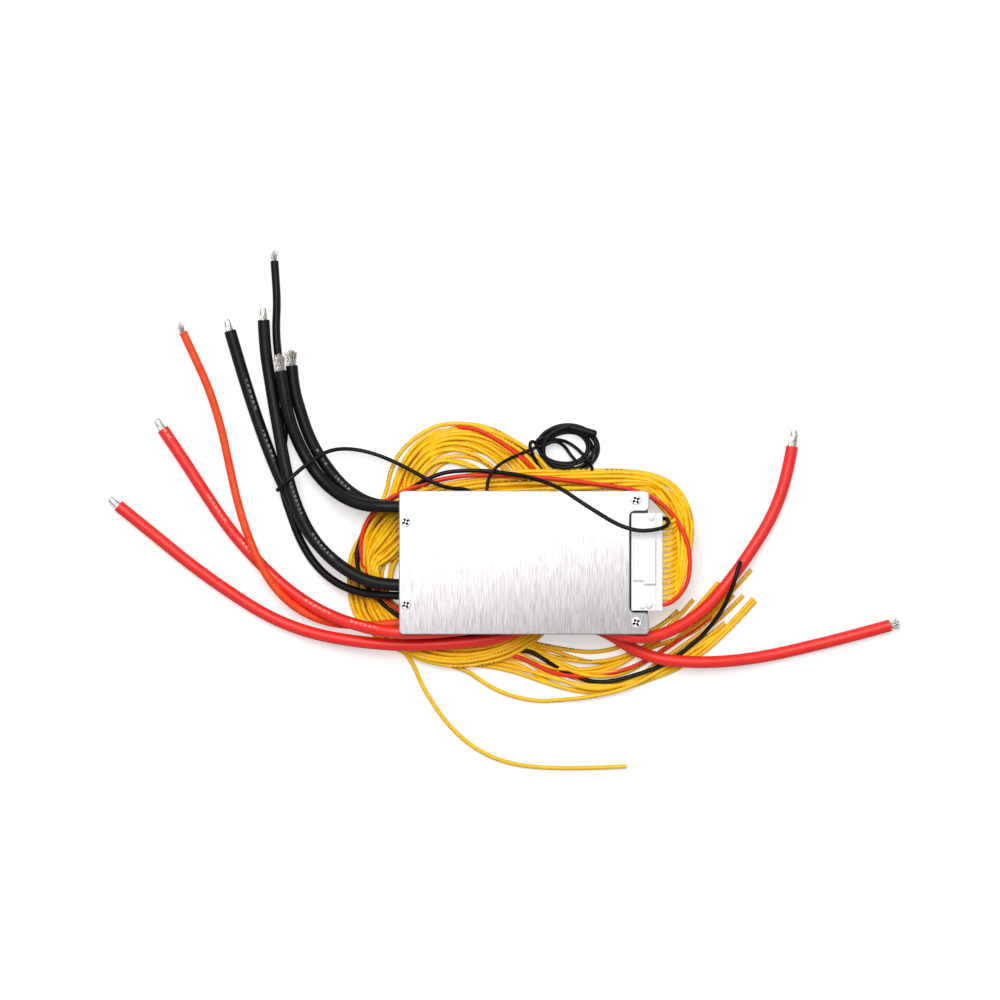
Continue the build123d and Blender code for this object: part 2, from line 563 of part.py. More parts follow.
def shunt_resistors():
    """Bent metal strips that measure the current, standing on both their feet."""
    length, width, height = SHUNT_SIZE
    strip = block((length, width, height), 0, 0, BOARD_TOP)
    gap = length - 4 * SHUNT_STRIP
    strip -= block((gap, width, height - SHUNT_STRIP), 0, 0, BOARD_TOP)
    start = MOSFET_ROW_CENTRE_X - (SHUNT_COUNT - 1) * SHUNT_PITCH / 2
    places = [start + index * SHUNT_PITCH for index in range(SHUNT_COUNT)]
    return Compound(children=[Pos(x, SHUNT_ROW_Y) * strip for x in places])


def bleed_resistors():
    """Rows of flat resistors on the board's underside, one for each cell."""
    bottom = BOARD_UNDERSIDE - BLEED_SIZE[2]
    pieces = []
    for row in range(BLEED_ROWS):
        for column in range(BLEED_COLUMNS):
            x = BLEED_CENTRE[0] + (column - (BLEED_COLUMNS - 1) / 2) * BLEED_PITCH[0]
            y = BLEED_CENTRE[1] + (row - (BLEED_ROWS - 1) / 2) * BLEED_PITCH[1]
            pieces.append(block(BLEED_SIZE, x, y, bottom))
    return Compound(children=pieces)


def controller_chip():
    body = block(CHIP_SIZE, CHIP_X, CHIP_Y, BOARD_TOP + CHIP_STANDOFF)
    return chamfer(body.edges().group_by(Axis.Z)[-1], CHIP_BEVEL)


def controller_leads():
    """Flat gull-wing leads in a row along each side of the controller."""
    outward = CHIP_SIZE[0] / 2 + CHIP_LEAD[0] / 2
    leads = []
    for turn in range(4):
        for index in range(CHIP_LEADS_PER_SIDE):
            along = (index - (CHIP_LEADS_PER_SIDE - 1) / 2) * CHIP_LEAD_PITCH
            foot = block(CHIP_LEAD, outward, along, BOARD_TOP)
            leads.append(Pos(CHIP_X, CHIP_Y) * Rot(0, 0, 90 * turn) * foot)
    return Compound(children=leads)


def sense_chips():
    chips = []
    for y in AMPLIFIERS_Y:
        body = block(AMPLIFIER_SIZE, CHIP_X, y, BOARD_TOP)
        chips.append(chamfer(body.edges().group_by(Axis.Z)[-1], CHIP_BEVEL))
    return Compound(children=chips)


def capacitors():
    """Small can capacitors on square bases."""
    cans = []
    for x in CAPACITORS_X:
        side = CAPACITOR_DIAMETER
        base = block((side, side, CAPACITOR_BASE), 0, 0, BOARD_TOP)
        can = upright(side / 2, BOARD_TOP, CAPACITOR_HEIGHT)
        can = fillet(can.edges().group_by(Axis.Z)[-1], COVER_EDGE_CHAMFER)
        cans.append(Pos(x, CAPACITORS_Y) * (base + can))
    return Compound(children=cans)


def lead_header(x):
    """Two-pin socket at the board's edge, open towards +Y, that holds one thin lead's plug."""
    wide, deep, tall = LEAD_HEADER_SIZE
    shell = block(LEAD_HEADER_SIZE, x, LEAD_HEADER_Y, BOARD_TOP)
    return shell - block(
        (wide - 2 * LEAD_HEADER_WALL, deep - LEAD_HEADER_WALL, tall - 2 * LEAD_HEADER_WALL),
        x, LEAD_HEADER_Y + LEAD_HEADER_WALL / 2, BOARD_TOP + LEAD_HEADER_WALL,
    )


def lead_plug(x):
    """Housing that fills a lead's socket, with the lead leaving its face."""
    wide, deep, tall = LEAD_HEADER_SIZE
    depth = deep - LEAD_HEADER_WALL - PLUG_FIT
    face = LEAD_HEADER_Y + deep / 2 + LEAD_PLUG_PROTRUSION
    return block(
        (wide - 2 * LEAD_HEADER_WALL - 2 * PLUG_FIT, depth + LEAD_PLUG_PROTRUSION,
         tall - 2 * LEAD_HEADER_WALL - 2 * PLUG_FIT),
        x, face - (depth + LEAD_PLUG_PROTRUSION) / 2, BOARD_TOP + LEAD_HEADER_WALL + PLUG_FIT,
    )


def turn_radii(route, closed=False):
    """Radius of the arc at each corner of a route, as large as its two runs allow."""
    corners = [Vector(*point) for point in route]
    if closed:
        corners = [corners[-1], *corners, corners[0]]
    radii = []
    for before, corner, after in zip(corners, corners[1:], corners[2:]):
        into = corner - before
        out = after - corner
        turn = math.radians(into.get_angle(out))
        radii.append(CORNER_SHARE * min(into.length, out.length) / math.tan(turn / 2))
    return radii


def tube(name, route, diameter):
    """Round cable along straight runs joined by tangent arcs."""
    radii = turn_radii(route)
    path = FilletPolyline(*route, radius=radii)
    section = Plane(origin=path @ 0, z_dir=path % 0) * Circle(diameter / 2)
    cable = sweep(section, path)
    share = cable.volume / (math.pi * diameter**2 / 4 * path.length)
    print(f"{name}: length {path.length:.0f}, least radius {min(radii):.1f}, volume share {share:.4f}")
    return cable


def stripped_end(route, core, reach):
    """Bare strands that stand out of the cable's cut end, in line with its last run."""
    last = Vector(*route[-1])
    along = (last - Vector(*route[-2])).normalized()
    strands = Plane(origin=last, z_dir=along) * Cylinder(
        core / 2, reach, align=(Align.CENTER, Align.CENTER, Align.MIN)
    )
    return strands


def solder_joint(route, cable_diameter, width, on_top):
    """Half-round mound of solder from the pad up round the stripped core of one cable."""
    into = Vector(*route[0]) - Vector(*route[1])
    heading = Vector(into.X, into.Y, 0).normalized()
    face = BOARD_TOP if on_top else BOARD_UNDERSIDE
    rise = cable_diameter / 2 + CABLE_OFF_BOARD
    toward_board = Vector(0, 0, -1 if on_top else 1)
    start = Vector(route[0][0], route[0][1], face) - toward_board * rise
    section_plane = Plane(origin=start, x_dir=heading.cross(Vector(0, 0, 1)), z_dir=heading)
    mound = section_plane * Circle(width / 2)
    stem = Plane(origin=start + toward_board * (rise / 2), x_dir=section_plane.x_dir, z_dir=heading)
    mound += stem * Rectangle(width, rise)
    return extrude(mound, SOLDER_LENGTH)


def prism(outline, height, bottom=0.0):
    """Flat-topped solid on a closed outline with rounded corners."""
    loop = FilletPolyline(*outline, radius=turn_radii(outline, closed=True), close=True)
    return Pos(0, 0, bottom) * extrude(make_face(loop), height)


def harness_turns():
    """Outer shape of the wires that go round under the board, thicker where two turns cross."""
    ring = prism(TURNS_OUTSIDE, BUNDLE_HEIGHT)
    ring -= prism(TURNS_INSIDE, BUNDLE_HEIGHT)
    lobe = prism(FAN_LOBE_OUTLINE, BUNDLE_HEIGHT, bottom=BUNDLE_FAN_HEIGHT)
    ring -= lobe
    ring += prism(CROSSING_OUTLINE, BUNDLE_CROSSING_HEIGHT)
    return ring


def sensor_coil():
    """Ring of the coiled sensor lead's outer shape."""
    wide, deep = SENSOR_COIL_RADII
    ring = Ellipse(wide, deep) - Ellipse(wide - SENSOR_COIL_BAND, deep - SENSOR_COIL_BAND)
    solid = extrude(ring, SENSOR_COIL_HEIGHT)
    solid = fillet(solid.edges().group_by(Axis.Z)[-1], SENSOR_COIL_EDGE)
    return Pos(*SENSOR_COIL_CENTRE) * solid


def sensor_head():
    """Shrink-wrapped sensor bead on top of its coiled lead."""
    level = SENSOR_COIL_HEIGHT + SENSOR_HEAD_DIAMETER / 2
    start = Vector(*SENSOR_HEAD_FROM, level)
    end = Vector(*SENSOR_HEAD_TO, level)
    bead = Plane(origin=start, z_dir=end - start) * Cylinder(
        SENSOR_HEAD_DIAMETER / 2, (end - start).length, align=(Align.CENTER, Align.CENTER, Align.MIN)
    )
    return fillet(bead.edges().filter_by(GeomType.CIRCLE), SENSOR_HEAD_DIAMETER / 3)


POWER_CABLES = {
    "black_cable_1": (BLACK_CABLE_1, True),
    "black_cable_2": (BLACK_CABLE_2, False),
    "black_cable_3": (BLACK_CABLE_3, True),
    "black_cable_4": (BLACK_CABLE_4, False),
    "red_cable_1": (RED_CABLE_1, False),
    "red_cable_2": (RED_CABLE_2, True),
    "red_cable_3": (RED_CABLE_3, True),
    "red_cable_4": (RED_CABLE_4, False),
}
CHARGE_LEADS = {"black_charge_lead": BLACK_CHARGE_LEAD, "red_charge_lead": RED_CHARGE_LEAD}
THIN_LEADS = {
    "signal_lead": (SIGNAL_LEAD, SIGNAL_DIAMETER),
    "sensor_lead": (SENSOR_LEAD, SENSOR_DIAMETER),
    "balance_black": (BALANCE_BLACK, WIRE_DIAMETER),
    "yellow_long_tail": (YELLOW_LONG_TAIL, WIRE_DIAMETER),
    "yellow_low_tail": (YELLOW_LOW_TAIL, WIRE_DIAMETER),
    "harness_run": (HARNESS_RUN, RUN_DIAMETER),
}


def solder_joints():
    joints = [
        solder_joint(route, POWER_CABLE_DIAMETER, SOLDER_WIDTH, top)
        for route, top in POWER_CABLES.values()
    ]
    narrow = SOLDER_WIDTH * CHARGE_CABLE_DIAMETER / POWER_CABLE_DIAMETER
    joints += [
        solder_joint(route, CHARGE_CABLE_DIAMETER, narrow, False) for route in CHARGE_LEADS.values()
    ]
    return Compound(children=joints)


def main():
    os.makedirs("parts", exist_ok=True)
    pieces = {
        "cover_plate": cover_plate(),
        "cover_screws": at_screws(cover_screw()),
        "upper_spacers": at_screws(upper_spacer()),
        "legs": at_screws(leg()),
        "circuit_board": circuit_board(),
        "balance_header": balance_header(),
        "header_pins": header_pins(),
        "header_lock": header_lock(),
        "silicone_dabs": silicone_dabs(),
        "balance_plug": balance_plug(),
        "thermal_pads": thermal_pad(),
        "mosfet_bodies": at_mosfets([mosfet_body()]),
        "mosfet_metal": at_mosfets(mosfet_metal()),
        "shunt_resistors": shunt_resistors(),
        "bleed_resistors": bleed_resistors(),
        "controller_chip": controller_chip(),
        "controller_leads": controller_leads(),
        "sense_chips": sense_chips(),
        "capacitors": capacitors(),
        "signal_header": lead_header(SIGNAL_HEADER_X),
        "sensor_header": lead_header(SENSOR_HEADER_X),
        "signal_plug": lead_plug(SIGNAL_HEADER_X),
        "sensor_plug": lead_plug(SENSOR_HEADER_X),
        "solder_joints": solder_joints(),
        "harness_turns": harness_turns(),
        "harness_fan": prism(
            PLUG_FAN_OUTLINE, PLUG_FAN_THICKNESS, bottom=PIN_HEIGHT - PLUG_FAN_THICKNESS / 2
        ),
        "harness_tails": prism(TAILS_OUTLINE, TAILS_HEIGHT),
        "sensor_coil": sensor_coil(),
        "sensor_head": sensor_head(),
    }
    for name, (route, _) in POWER_CABLES.items():
        pieces[name] = tube(name, route, POWER_CABLE_DIAMETER)
        pieces[f"{name}_end"] = stripped_end(route, POWER_CORE_DIAMETER, STRIPPED_LENGTH)
    for name, route in CHARGE_LEADS.items():
        pieces[name] = tube(name, route, CHARGE_CABLE_DIAMETER)
        pieces[f"{name}_end"] = stripped_end(route, CHARGE_CORE_DIAMETER, CHARGE_CORE_REACH)
    for name, (route, diameter) in THIN_LEADS.items():
        pieces[name] = tube(name, route, diameter)
    for name, piece in pieces.items():
        export_step(piece, f"parts/{name}.step")


main()
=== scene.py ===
import math

import bpy
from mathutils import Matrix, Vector


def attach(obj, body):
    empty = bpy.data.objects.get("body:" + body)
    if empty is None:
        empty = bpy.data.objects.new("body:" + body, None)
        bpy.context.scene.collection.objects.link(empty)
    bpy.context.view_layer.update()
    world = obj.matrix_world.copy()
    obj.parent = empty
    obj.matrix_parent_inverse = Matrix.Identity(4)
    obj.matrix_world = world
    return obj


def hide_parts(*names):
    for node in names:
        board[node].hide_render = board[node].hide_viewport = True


# Battery management board, dressed for a photograph taken straight down on a white table.
# Tables of places are in millimetres and go through mm(); Blender works in metres.

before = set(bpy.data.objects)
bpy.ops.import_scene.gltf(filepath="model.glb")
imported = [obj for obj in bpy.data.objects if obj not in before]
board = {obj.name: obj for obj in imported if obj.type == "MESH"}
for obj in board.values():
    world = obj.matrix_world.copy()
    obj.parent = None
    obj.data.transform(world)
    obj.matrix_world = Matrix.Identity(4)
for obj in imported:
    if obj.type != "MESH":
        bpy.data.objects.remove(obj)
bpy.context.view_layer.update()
scene = bpy.context.scene
scene.view_settings.view_transform = "Standard"

MM = 0.001


def mm(point):
    return tuple(value * MM for value in point)


# Camera: straight down, the top of the picture towards +Y
PICTURE_SPAN = 370.4
PICTURE_CENTRE = (-10.09, 23.07)
CAMERA_HEIGHT = 2000.0
SCALE_HEIGHT = 10.0
SENSOR_WIDTH = 36.0


def place_camera():
    """The picture's span is true at the height of the cables' middle."""
    lens = bpy.data.cameras.new("photo_camera")
    lens.sensor_width = SENSOR_WIDTH
    lens.lens = SENSOR_WIDTH * (CAMERA_HEIGHT - SCALE_HEIGHT) / PICTURE_SPAN
    lens.clip_start = 0.05
    camera = bpy.data.objects.new("photo_camera", lens)
    camera.location = mm((*PICTURE_CENTRE, CAMERA_HEIGHT))
    scene.collection.objects.link(camera)
    scene.camera = camera


place_camera()

# Routes of the thick cables and the thin leads. They follow the source's routes, apart from
# RED_CABLE_3 and YELLOW_LONG_TAIL, which bow a little more.
BLACK_CABLE_1 = [
    (-43, 20.5, 15.9), (-52, 20.5, 15.9), (-61, 21, 13.6), (-69.5, 24.5, 9.6), (-77, 31, 5.6),
    (-83, 40, 3.8), (-87.5, 50, 5), (-90, 60.5, 5.7), (-91.5, 71, 5.5),
]
BLACK_CABLE_2 = [
    (-43, 20.5, 9.7), (-52, 20.5, 9.7), (-60.5, 22.5, 6.5), (-68.5, 28, 3.2), (-75.5, 36.5, 2.3),
    (-81, 46, 2.3), (-84.5, 56.5, 2.3), (-87, 65.5, 2.4), (-87.5, 73, 2.3),
]
BLACK_CABLE_3 = [
    (-43, -8.5, 15.9), (-53, -8.5, 15.9), (-63, -5.5, 14.6), (-72.5, 1, 13), (-80, 9.5, 11.8),
    (-85, 19.5, 10.8), (-88.5, 30, 9.6), (-91, 42, 7.2), (-93.5, 55, 4.2), (-95.5, 67, 2.5),
    (-97.5, 79, 2.3), (-98, 90, 2.4),
]
BLACK_CABLE_4 = [
    (-43, -8.5, 9.7), (-53, -8.5, 9.7), (-63, -5.5, 8.2), (-72.5, 1, 6.8), (-80.5, 9.5, 5.9),
    (-86, 19.5, 5.6), (-92, 31.5, 5.7), (-97.5, 45, 3.5), (-102.5, 59.5, 2.3), (-107, 74, 2.4),
    (-110.5, 86, 2.3),
]
BLACK_CHARGE_LEAD = [
    (-43, -12.4, 10.45), (-52.5, -12.4, 10.45), (-61.5, -11.5, 8.2), (-71, -8, 5), (-79, -1, 2.4),
    (-84.5, 8, 1.6), (-88, 17.5, 1.6), (-91, 26.5, 1.6), (-91.5, 35.5, 1.6), (-90.5, 45.5, 1.7),
    (-90, 55.5, 1.6), (-91, 65.5, 1.7), (-92.5, 75.5, 1.6), (-93.5, 86, 1.6), (-93, 96.5, 1.7),
    (-93.5, 105, 1.6), (-94, 112, 1.6),
]
RED_CABLE_1 = [
    (3, -22.6, 9.7), (-5, -26.1, 9.7), (-14, -28.7, 9.4), (-28, -30.2, 8.8), (-45.5, -31, 8.2),
    (-63, -29.6, 7.4), (-80.5, -26.5, 4.6), (-96, -20.5, 2.5), (-111, -11, 2.3), (-125, -1, 2.4),
    (-139, 10.5, 2.3), (-152, 21, 2.4),
]
RED_CABLE_2 = [
    (-5, -20.9, 15.9), (-16, -23.6, 15.9), (-30, -25.6, 15.9), (-47, -26.3, 16.2), (-61, -24, 12.6),
    (-75.5, -19, 8), (-89.5, -10, 3.6), (-101, 1, 2.4), (-111, 12.5, 2.3), (-120, 26, 2.4),
    (-128, 38.5, 2.3), (-135.5, 49.5, 2.4),
]
RED_CHARGE_LEAD = [
    (-19.5, -18.5, 10.45), (-33.5, -21, 10.45), (-47.5, -22.5, 8.2), (-60, -23.6, 6.9),
    (-73, -23, 4.3), (-85, -18, 5.6), (-94, -9.5, 7.5), (-100, 1, 7.2), (-104.5, 12, 5.4),
    (-108, 23.5, 3), (-111, 37, 1.7), (-114, 51, 1.6), (-118.5, 65, 1.7), (-124, 77, 1.6),
    (-128, 85.5, 1.6),
]
RED_CABLE_3 = [
    (16, -20.2, 15.9), (25, -22.8, 15.9), (34.5, -26.8, 15.9), (45, -28.4, 14.6), (56.5, -24, 11.4),
    (66.5, -17, 8.4), (75, -7.2, 6.3), (83.4, 4.4, 4.6), (91.4, 17.4, 2.6), (96.6, 31.6, 2.3),
    (98.5, 43, 2.4),
]
RED_CABLE_4 = [
    (13, -22.6, 9.7), (21, -23, 9.7), (30, -26, 8.4), (38.5, -32, 6.6), (48, -35.9, 6.1),
    (60, -37.2, 6), (74, -37, 4.8), (89, -35, 2.7), (104.5, -31.5, 2.3), (120.5, -27.5, 2.4),
    (135, -23.5, 2.3),
]
SIGNAL_LEAD = [
    (-20.5, 24.2, 15.3), (-20.5, 25.4, 15.3), (-21.6, 26.6, 15), (-24.2, 27.2, 14.1),
    (-28.6, 27.4, 12.6), (-34, 29, 10.6), (-41, 33, 8.6), (-49, 37.2, 6.6), (-58, 40.8, 4.4),
    (-66.5, 42.3, 5), (-73, 41.6, 7.8), (-78, 39, 9.6), (-83, 35.2, 11.4), (-86.6, 32, 13),
    (-90, 29, 13), (-92.6, 26.6, 10.8),
]
SENSOR_LEAD = [
    (-14.9, 24.2, 15.3), (-14.9, 26.2, 15.3), (-14.8, 28.6, 14.3), (-14.2, 31.2, 12.8),
    (-12.8, 33.8, 11.4), (-10.4, 36.2, 9), (-7, 38.2, 6), (-3.4, 39.8, 3.8), (0, 41.3, 2.8),
    (2.9, 42.4, 2.6),
]
BALANCE_BLACK = [
    (48.1, 16.3, 16), (50.7, 16.3, 16), (51.9, 15.9, 17.6), (52.2, 14.6, 20.2), (50.6, 13, 22.4),
    (46.6, 12, 23.4), (40.5, 11.6, 23.6), (33.5, 13.8, 23.3), (26.5, 18, 23.2), (19.6, 22.4, 23),
    (13.2, 26.8, 22), (7, 29.6, 18.4), (0.4, 31.6, 13.6), (-7, 33, 9.8), (-15, 33.9, 8.1),
    (-23.4, 34, 7.8), (-30.4, 33.4, 7.9), (-36, 31.4, 7.8),
]
YELLOW_LONG_TAIL = [
    (-56.2, -27.2, 2.3), (-49.4, -31.0, 2.5), (-44.4, -34.6, 2.4), (-41.7, -39.4, 1.4),
    (-39.8, -44.4, 0.9), (-36.6, -50.2, 0.9), (-32.5, -56.4, 0.9),
    (-27.5, -62.5, 0.9), (-20.8, -68.4, 0.9), (-12.6, -73, 0.9), (-3, -75.7, 0.9),
    (7.8, -76.6, 0.9), (19.4, -76.7, 0.9), (29, -76.4, 0.9), (37, -76, 0.9),
]
YELLOW_LOW_TAIL = [
    (-22.7, -39.9, 1.8), (-17, -44.4, 1), (-10.3, -48.2, 0.9), (-3.2, -50.6, 0.9),
    (4.8, -51.8, 0.9), (11.6, -51.4, 0.9),
]

# The balance harness: fifteen yellow wires that lie in one bundle, a red and a black over them.
# A station gives its lowest wire's height, then each group of neighbours: how many wires, where
# the outermost lies and where the innermost lies.
PIN_PITCH = 2.0
FIRST_PIN_Y = 16.3
PIN_HEIGHT = 16.0
SOCKET_BOTTOM = 48.1
WIRE = 1.6
LANE = 1.65
PLUG_SIDE_LANE = 1.95
LAYER = 1.39
YELLOW_COUNT = 15
STACKS = 4
# Beside the plug the wires of the lowest pins lie on top, four abreast (STACKS), and the rest dive
# under them; past the tab they work loose into lanes.
PLUG_STATIONS = [
    (12.4, (15, (57.9, -5.0), (55.6, -3.8))),
    (12.2, (15, (59.3, 0.6), (56.0, 1.2))),
    (11.2, (15, (60.6, 7.0), (56.0, 7.2))),
    (9.6, (15, (61.2, 13.4), (54.6, 12.4))),
    (7.6, (15, (60.2, 19.6), (52.0, 17.2))),
]
FIRST_TURN = [
    (5.6, (15, (57.8, 25.2), (48.8, 20.2))),
    (4.0, (15, (53.4, 30.0), (45.2, 23.8))),
    (2.8, (15, (45.2, 33.2), (41.4, 25.4))),
    (2.2, (15, (34.2, 34.0), (34.2, 24.6))),
    (2.2, (15, (22.0, 33.6), (22.0, 23.0))),
    (3.6, (15, (8.0, 33.4), (8.0, 22.2))),
    (3.65, (15, (-5.0, 33.1), (-5.0, 21.4))),
    (3.65, (15, (-18.0, 32.2), (-16.4, 20.0))),
    (3.65, (15, (-29.0, 30.9), (-26.0, 17.4))),
    (3.65, (15, (-40.5, 28.2), (-36.4, 13.2))),
    (3.5, (15, (-50.0, 24.2), (-43.4, 8.2))),
    (3.2, (4, (-57.2, 17.9), (-55.2, 14.4)), (11, (-53.4, 12.6), (-48.4, 2.6))),
    (2.7, (4, (-60.8, 10.2), (-58.6, 8.6)), (11, (-57.4, 7.0), (-52.6, -0.2))),
    (2.2, (15, (-61.8, 2.6), (-56.2, -1.4))),
    (2.0, (15, (-61.4, -5.2), (-54.0, -7.4))),
    (2.0, (15, (-59.6, -12.4), (-51.8, -13.2))),
    (2.4, (15, (-57.0, -20.6), (-47.4, -17.0))),
    (2.8, (15, (-50.4, -29.6), (-41.6, -21.6))),
    (3.4, (15, (-41.5, -35.6), (-36.0, -25.0))),
    (3.65, (15, (-33.0, -37.6), (-29.5, -26.4))),
    (3.65, (15, (-24.9, -38.3), (-22.5, -26.8))),
    (3.65, (15, (-16.4, -37.2), (-15.5, -25.6))),
    (3.4, (15, (-7.6, -35.0), (-9.5, -23.4))),
    (2.6, (15, (0.6, -30.4), (-4.4, -20.0))),
    (1.6, (15, (7.2, -25.2), (-0.4, -16.4))),
    (0.9, (15, (14.4, -16.4), (4.4, -11.0))),
    (0.85, (15, (19.2, -6.0), (8.2, -4.0))),
]
SECOND_TURN = [
    (0.85, (15, (21.0, 5.4), (9.6, 4.6))),
    (0.85, (15, (18.4, 17.0), (4.0, 13.4))),
    (0.85, (15, (13.0, 27.4), (-5.0, 22.4))),
    (0.85, (12, (6.8, 36.8), (-7.6, 30.4)), (3, (-11.4, 29.4), (-14.6, 28.4))),
    (0.85, (12, (0.2, 42.4), (-10.4, 34.8)), (3, (-13.6, 34.2), (-16.4, 32.6))),
    (0.85, (12, (-7.8, 47.3), (-14.8, 38.4)), (3, (-17.8, 36.9), (-20.0, 34.8))),
    (0.85, (12, (-16.0, 50.4), (-20.4, 41.0)), (3, (-22.4, 38.4), (-23.8, 36.0))),
    (0.85, (12, (-25.3, 51.0), (-26.2, 41.8)), (3, (-27.0, 39.3), (-27.4, 36.9))),
    (0.85, (12, (-33.2, 50.0), (-32.4, 40.8)), (3, (-31.8, 39.0), (-31.2, 36.6))),
    (
        0.85, (1, (-41.4, 46.8), (-41.4, 46.8)), (11, (-39.4, 45.9), (-37.0, 37.2)),
        (3, (-36.2, 36.6), (-34.6, 34.8)),
    ),
    (
        0.85, (1, (-48.0, 40.2), (-48.0, 40.2)), (11, (-44.8, 39.2), (-40.6, 32.6)),
        (3, (-39.4, 32.4), (-37.4, 31.2)),
    ),
    (
        0.85, (1, (-51.2, 33.0), (-51.2, 33.0)), (11, (-47.9, 32.4), (-42.8, 27.8)),
        (3, (-41.4, 27.4), (-39.6, 26.6)),
    ),
    (
        0.85, (1, (-52.4, 25.4), (-52.4, 25.4)), (5, (-50.6, 24.2), (-48.2, 22.6)),
        (9, (-44.6, 21.8), (-38.4, 19.6)),
    ),
    (
        0.85, (6, (-57.4, 16.4), (-51.6, 13.4)), (6, (-49.4, 14.6), (-46.0, 12.0)),
        (3, (-43.6, 11.6), (-41.4, 10.6)),
    ),
    (
        0.85, (6, (-62.6, 9.8), (-58.4, 7.6)), (6, (-56.6, 7.4), (-52.6, 5.0)),
        (3, (-48.4, 4.0), (-46.0, 3.2)),
    ),
    (
        0.85, (4, (-66.0, 2.2), (-63.4, 1.4)), (8, (-62.2, 1.0), (-57.6, -1.4)),
        (3, (-52.4, -0.4), (-49.6, -1.0)),
    ),
    (
        0.85, (4, (-66.2, -6.4), (-63.2, -6.8)), (8, (-61.6, -7.0), (-56.0, -8.0)),
        (3, (-53.4, -7.4), (-50.4, -8.0)),
    ),
    (0.85, (15, (-65.6, -13.8), (-52.4, -13.4))),
    (0.85, (15, (-63.0, -21.4), (-51.4, -17.4))),
]
BOTTOM_ARC = [
    (0.85, (15, (-57.0, -27.8), (-46.6, -21.6))),
    (0.85, (15, (-48.6, -32.6), (-41.0, -25.4))),
    (0.85, (15, (-38.0, -36.4), (-33.6, -28.0))),
    (0.85, (15, (-25.0, -37.6), (-24.2, -28.6))),
    (0.85, (15, (-13.4, -38.0), (-12.4, -28.4))),
    (0.85, (15, (-3.0, -40.2), (-1.0, -29.0))),
]
TAIL_STATIONS = [
    (0.85, (13, (5.4, -44.4), (9.4, -31.8))),
    (0.85, (13, (14.0, -48.0), (16.6, -33.8))),
    (0.85, (13, (24.0, -49.8), (24.6, -35.2))),
    (0.85, (13, (35.6, -49.0), (34.8, -33.6))),
    (0.85, (13, (47.2, -44.8), (45.4, -27.4))),
]
# How far a wire's slack swings it aside, and the waves of that slack: their shift from one wire to
# the next, their pace from station to station, and how much that pace grows with each wire
TURN_SWING = 0.55
LOOSE_SWING = 1.2
TAIL_SWING = 1.7
SLACK_SHIFT = 2.1
SLACK_PACE = 0.42
SLACK_PACE_GROWTH = 0.018
TAIL_PACE = 0.5
# The second turn's slack goes on into the bottom arc from this step
ARC_FIRST_STEP = 50
# How fast the wires leave their stack beside the plug, station by station
STACK_START = 1.32
STACK_LOSS = 0.16
# Where each yellow wire of the tails comes out from under the red cables, and its cut end.
TAIL_ENDS = [
    ((58.6, -38.8), (85.0, -14.4)), ((59.0, -37.0), (84.2, -13.4)), ((60.4, -35.4), (74.4, -24.0)),
    ((60.2, -33.4), (73.6, -22.6)), ((61.0, -31.4), (72.0, -24.6)), ((60.4, -29.4), (80.4, -12.4)),
    ((60.6, -27.2), (76.8, -12.2)), ((60.8, -25.6), (77.6, -8.8)), ((61.2, -24.0), (83.4, -2.8)),
    ((61.6, -22.4), (76.2, -9.8)), ((60.4, -20.6), (71.2, -7.4)), ((56.4, -20.4), (61.8, -14.0)),
    ((51.4, -22.6), (56.2, -18.0)),
]
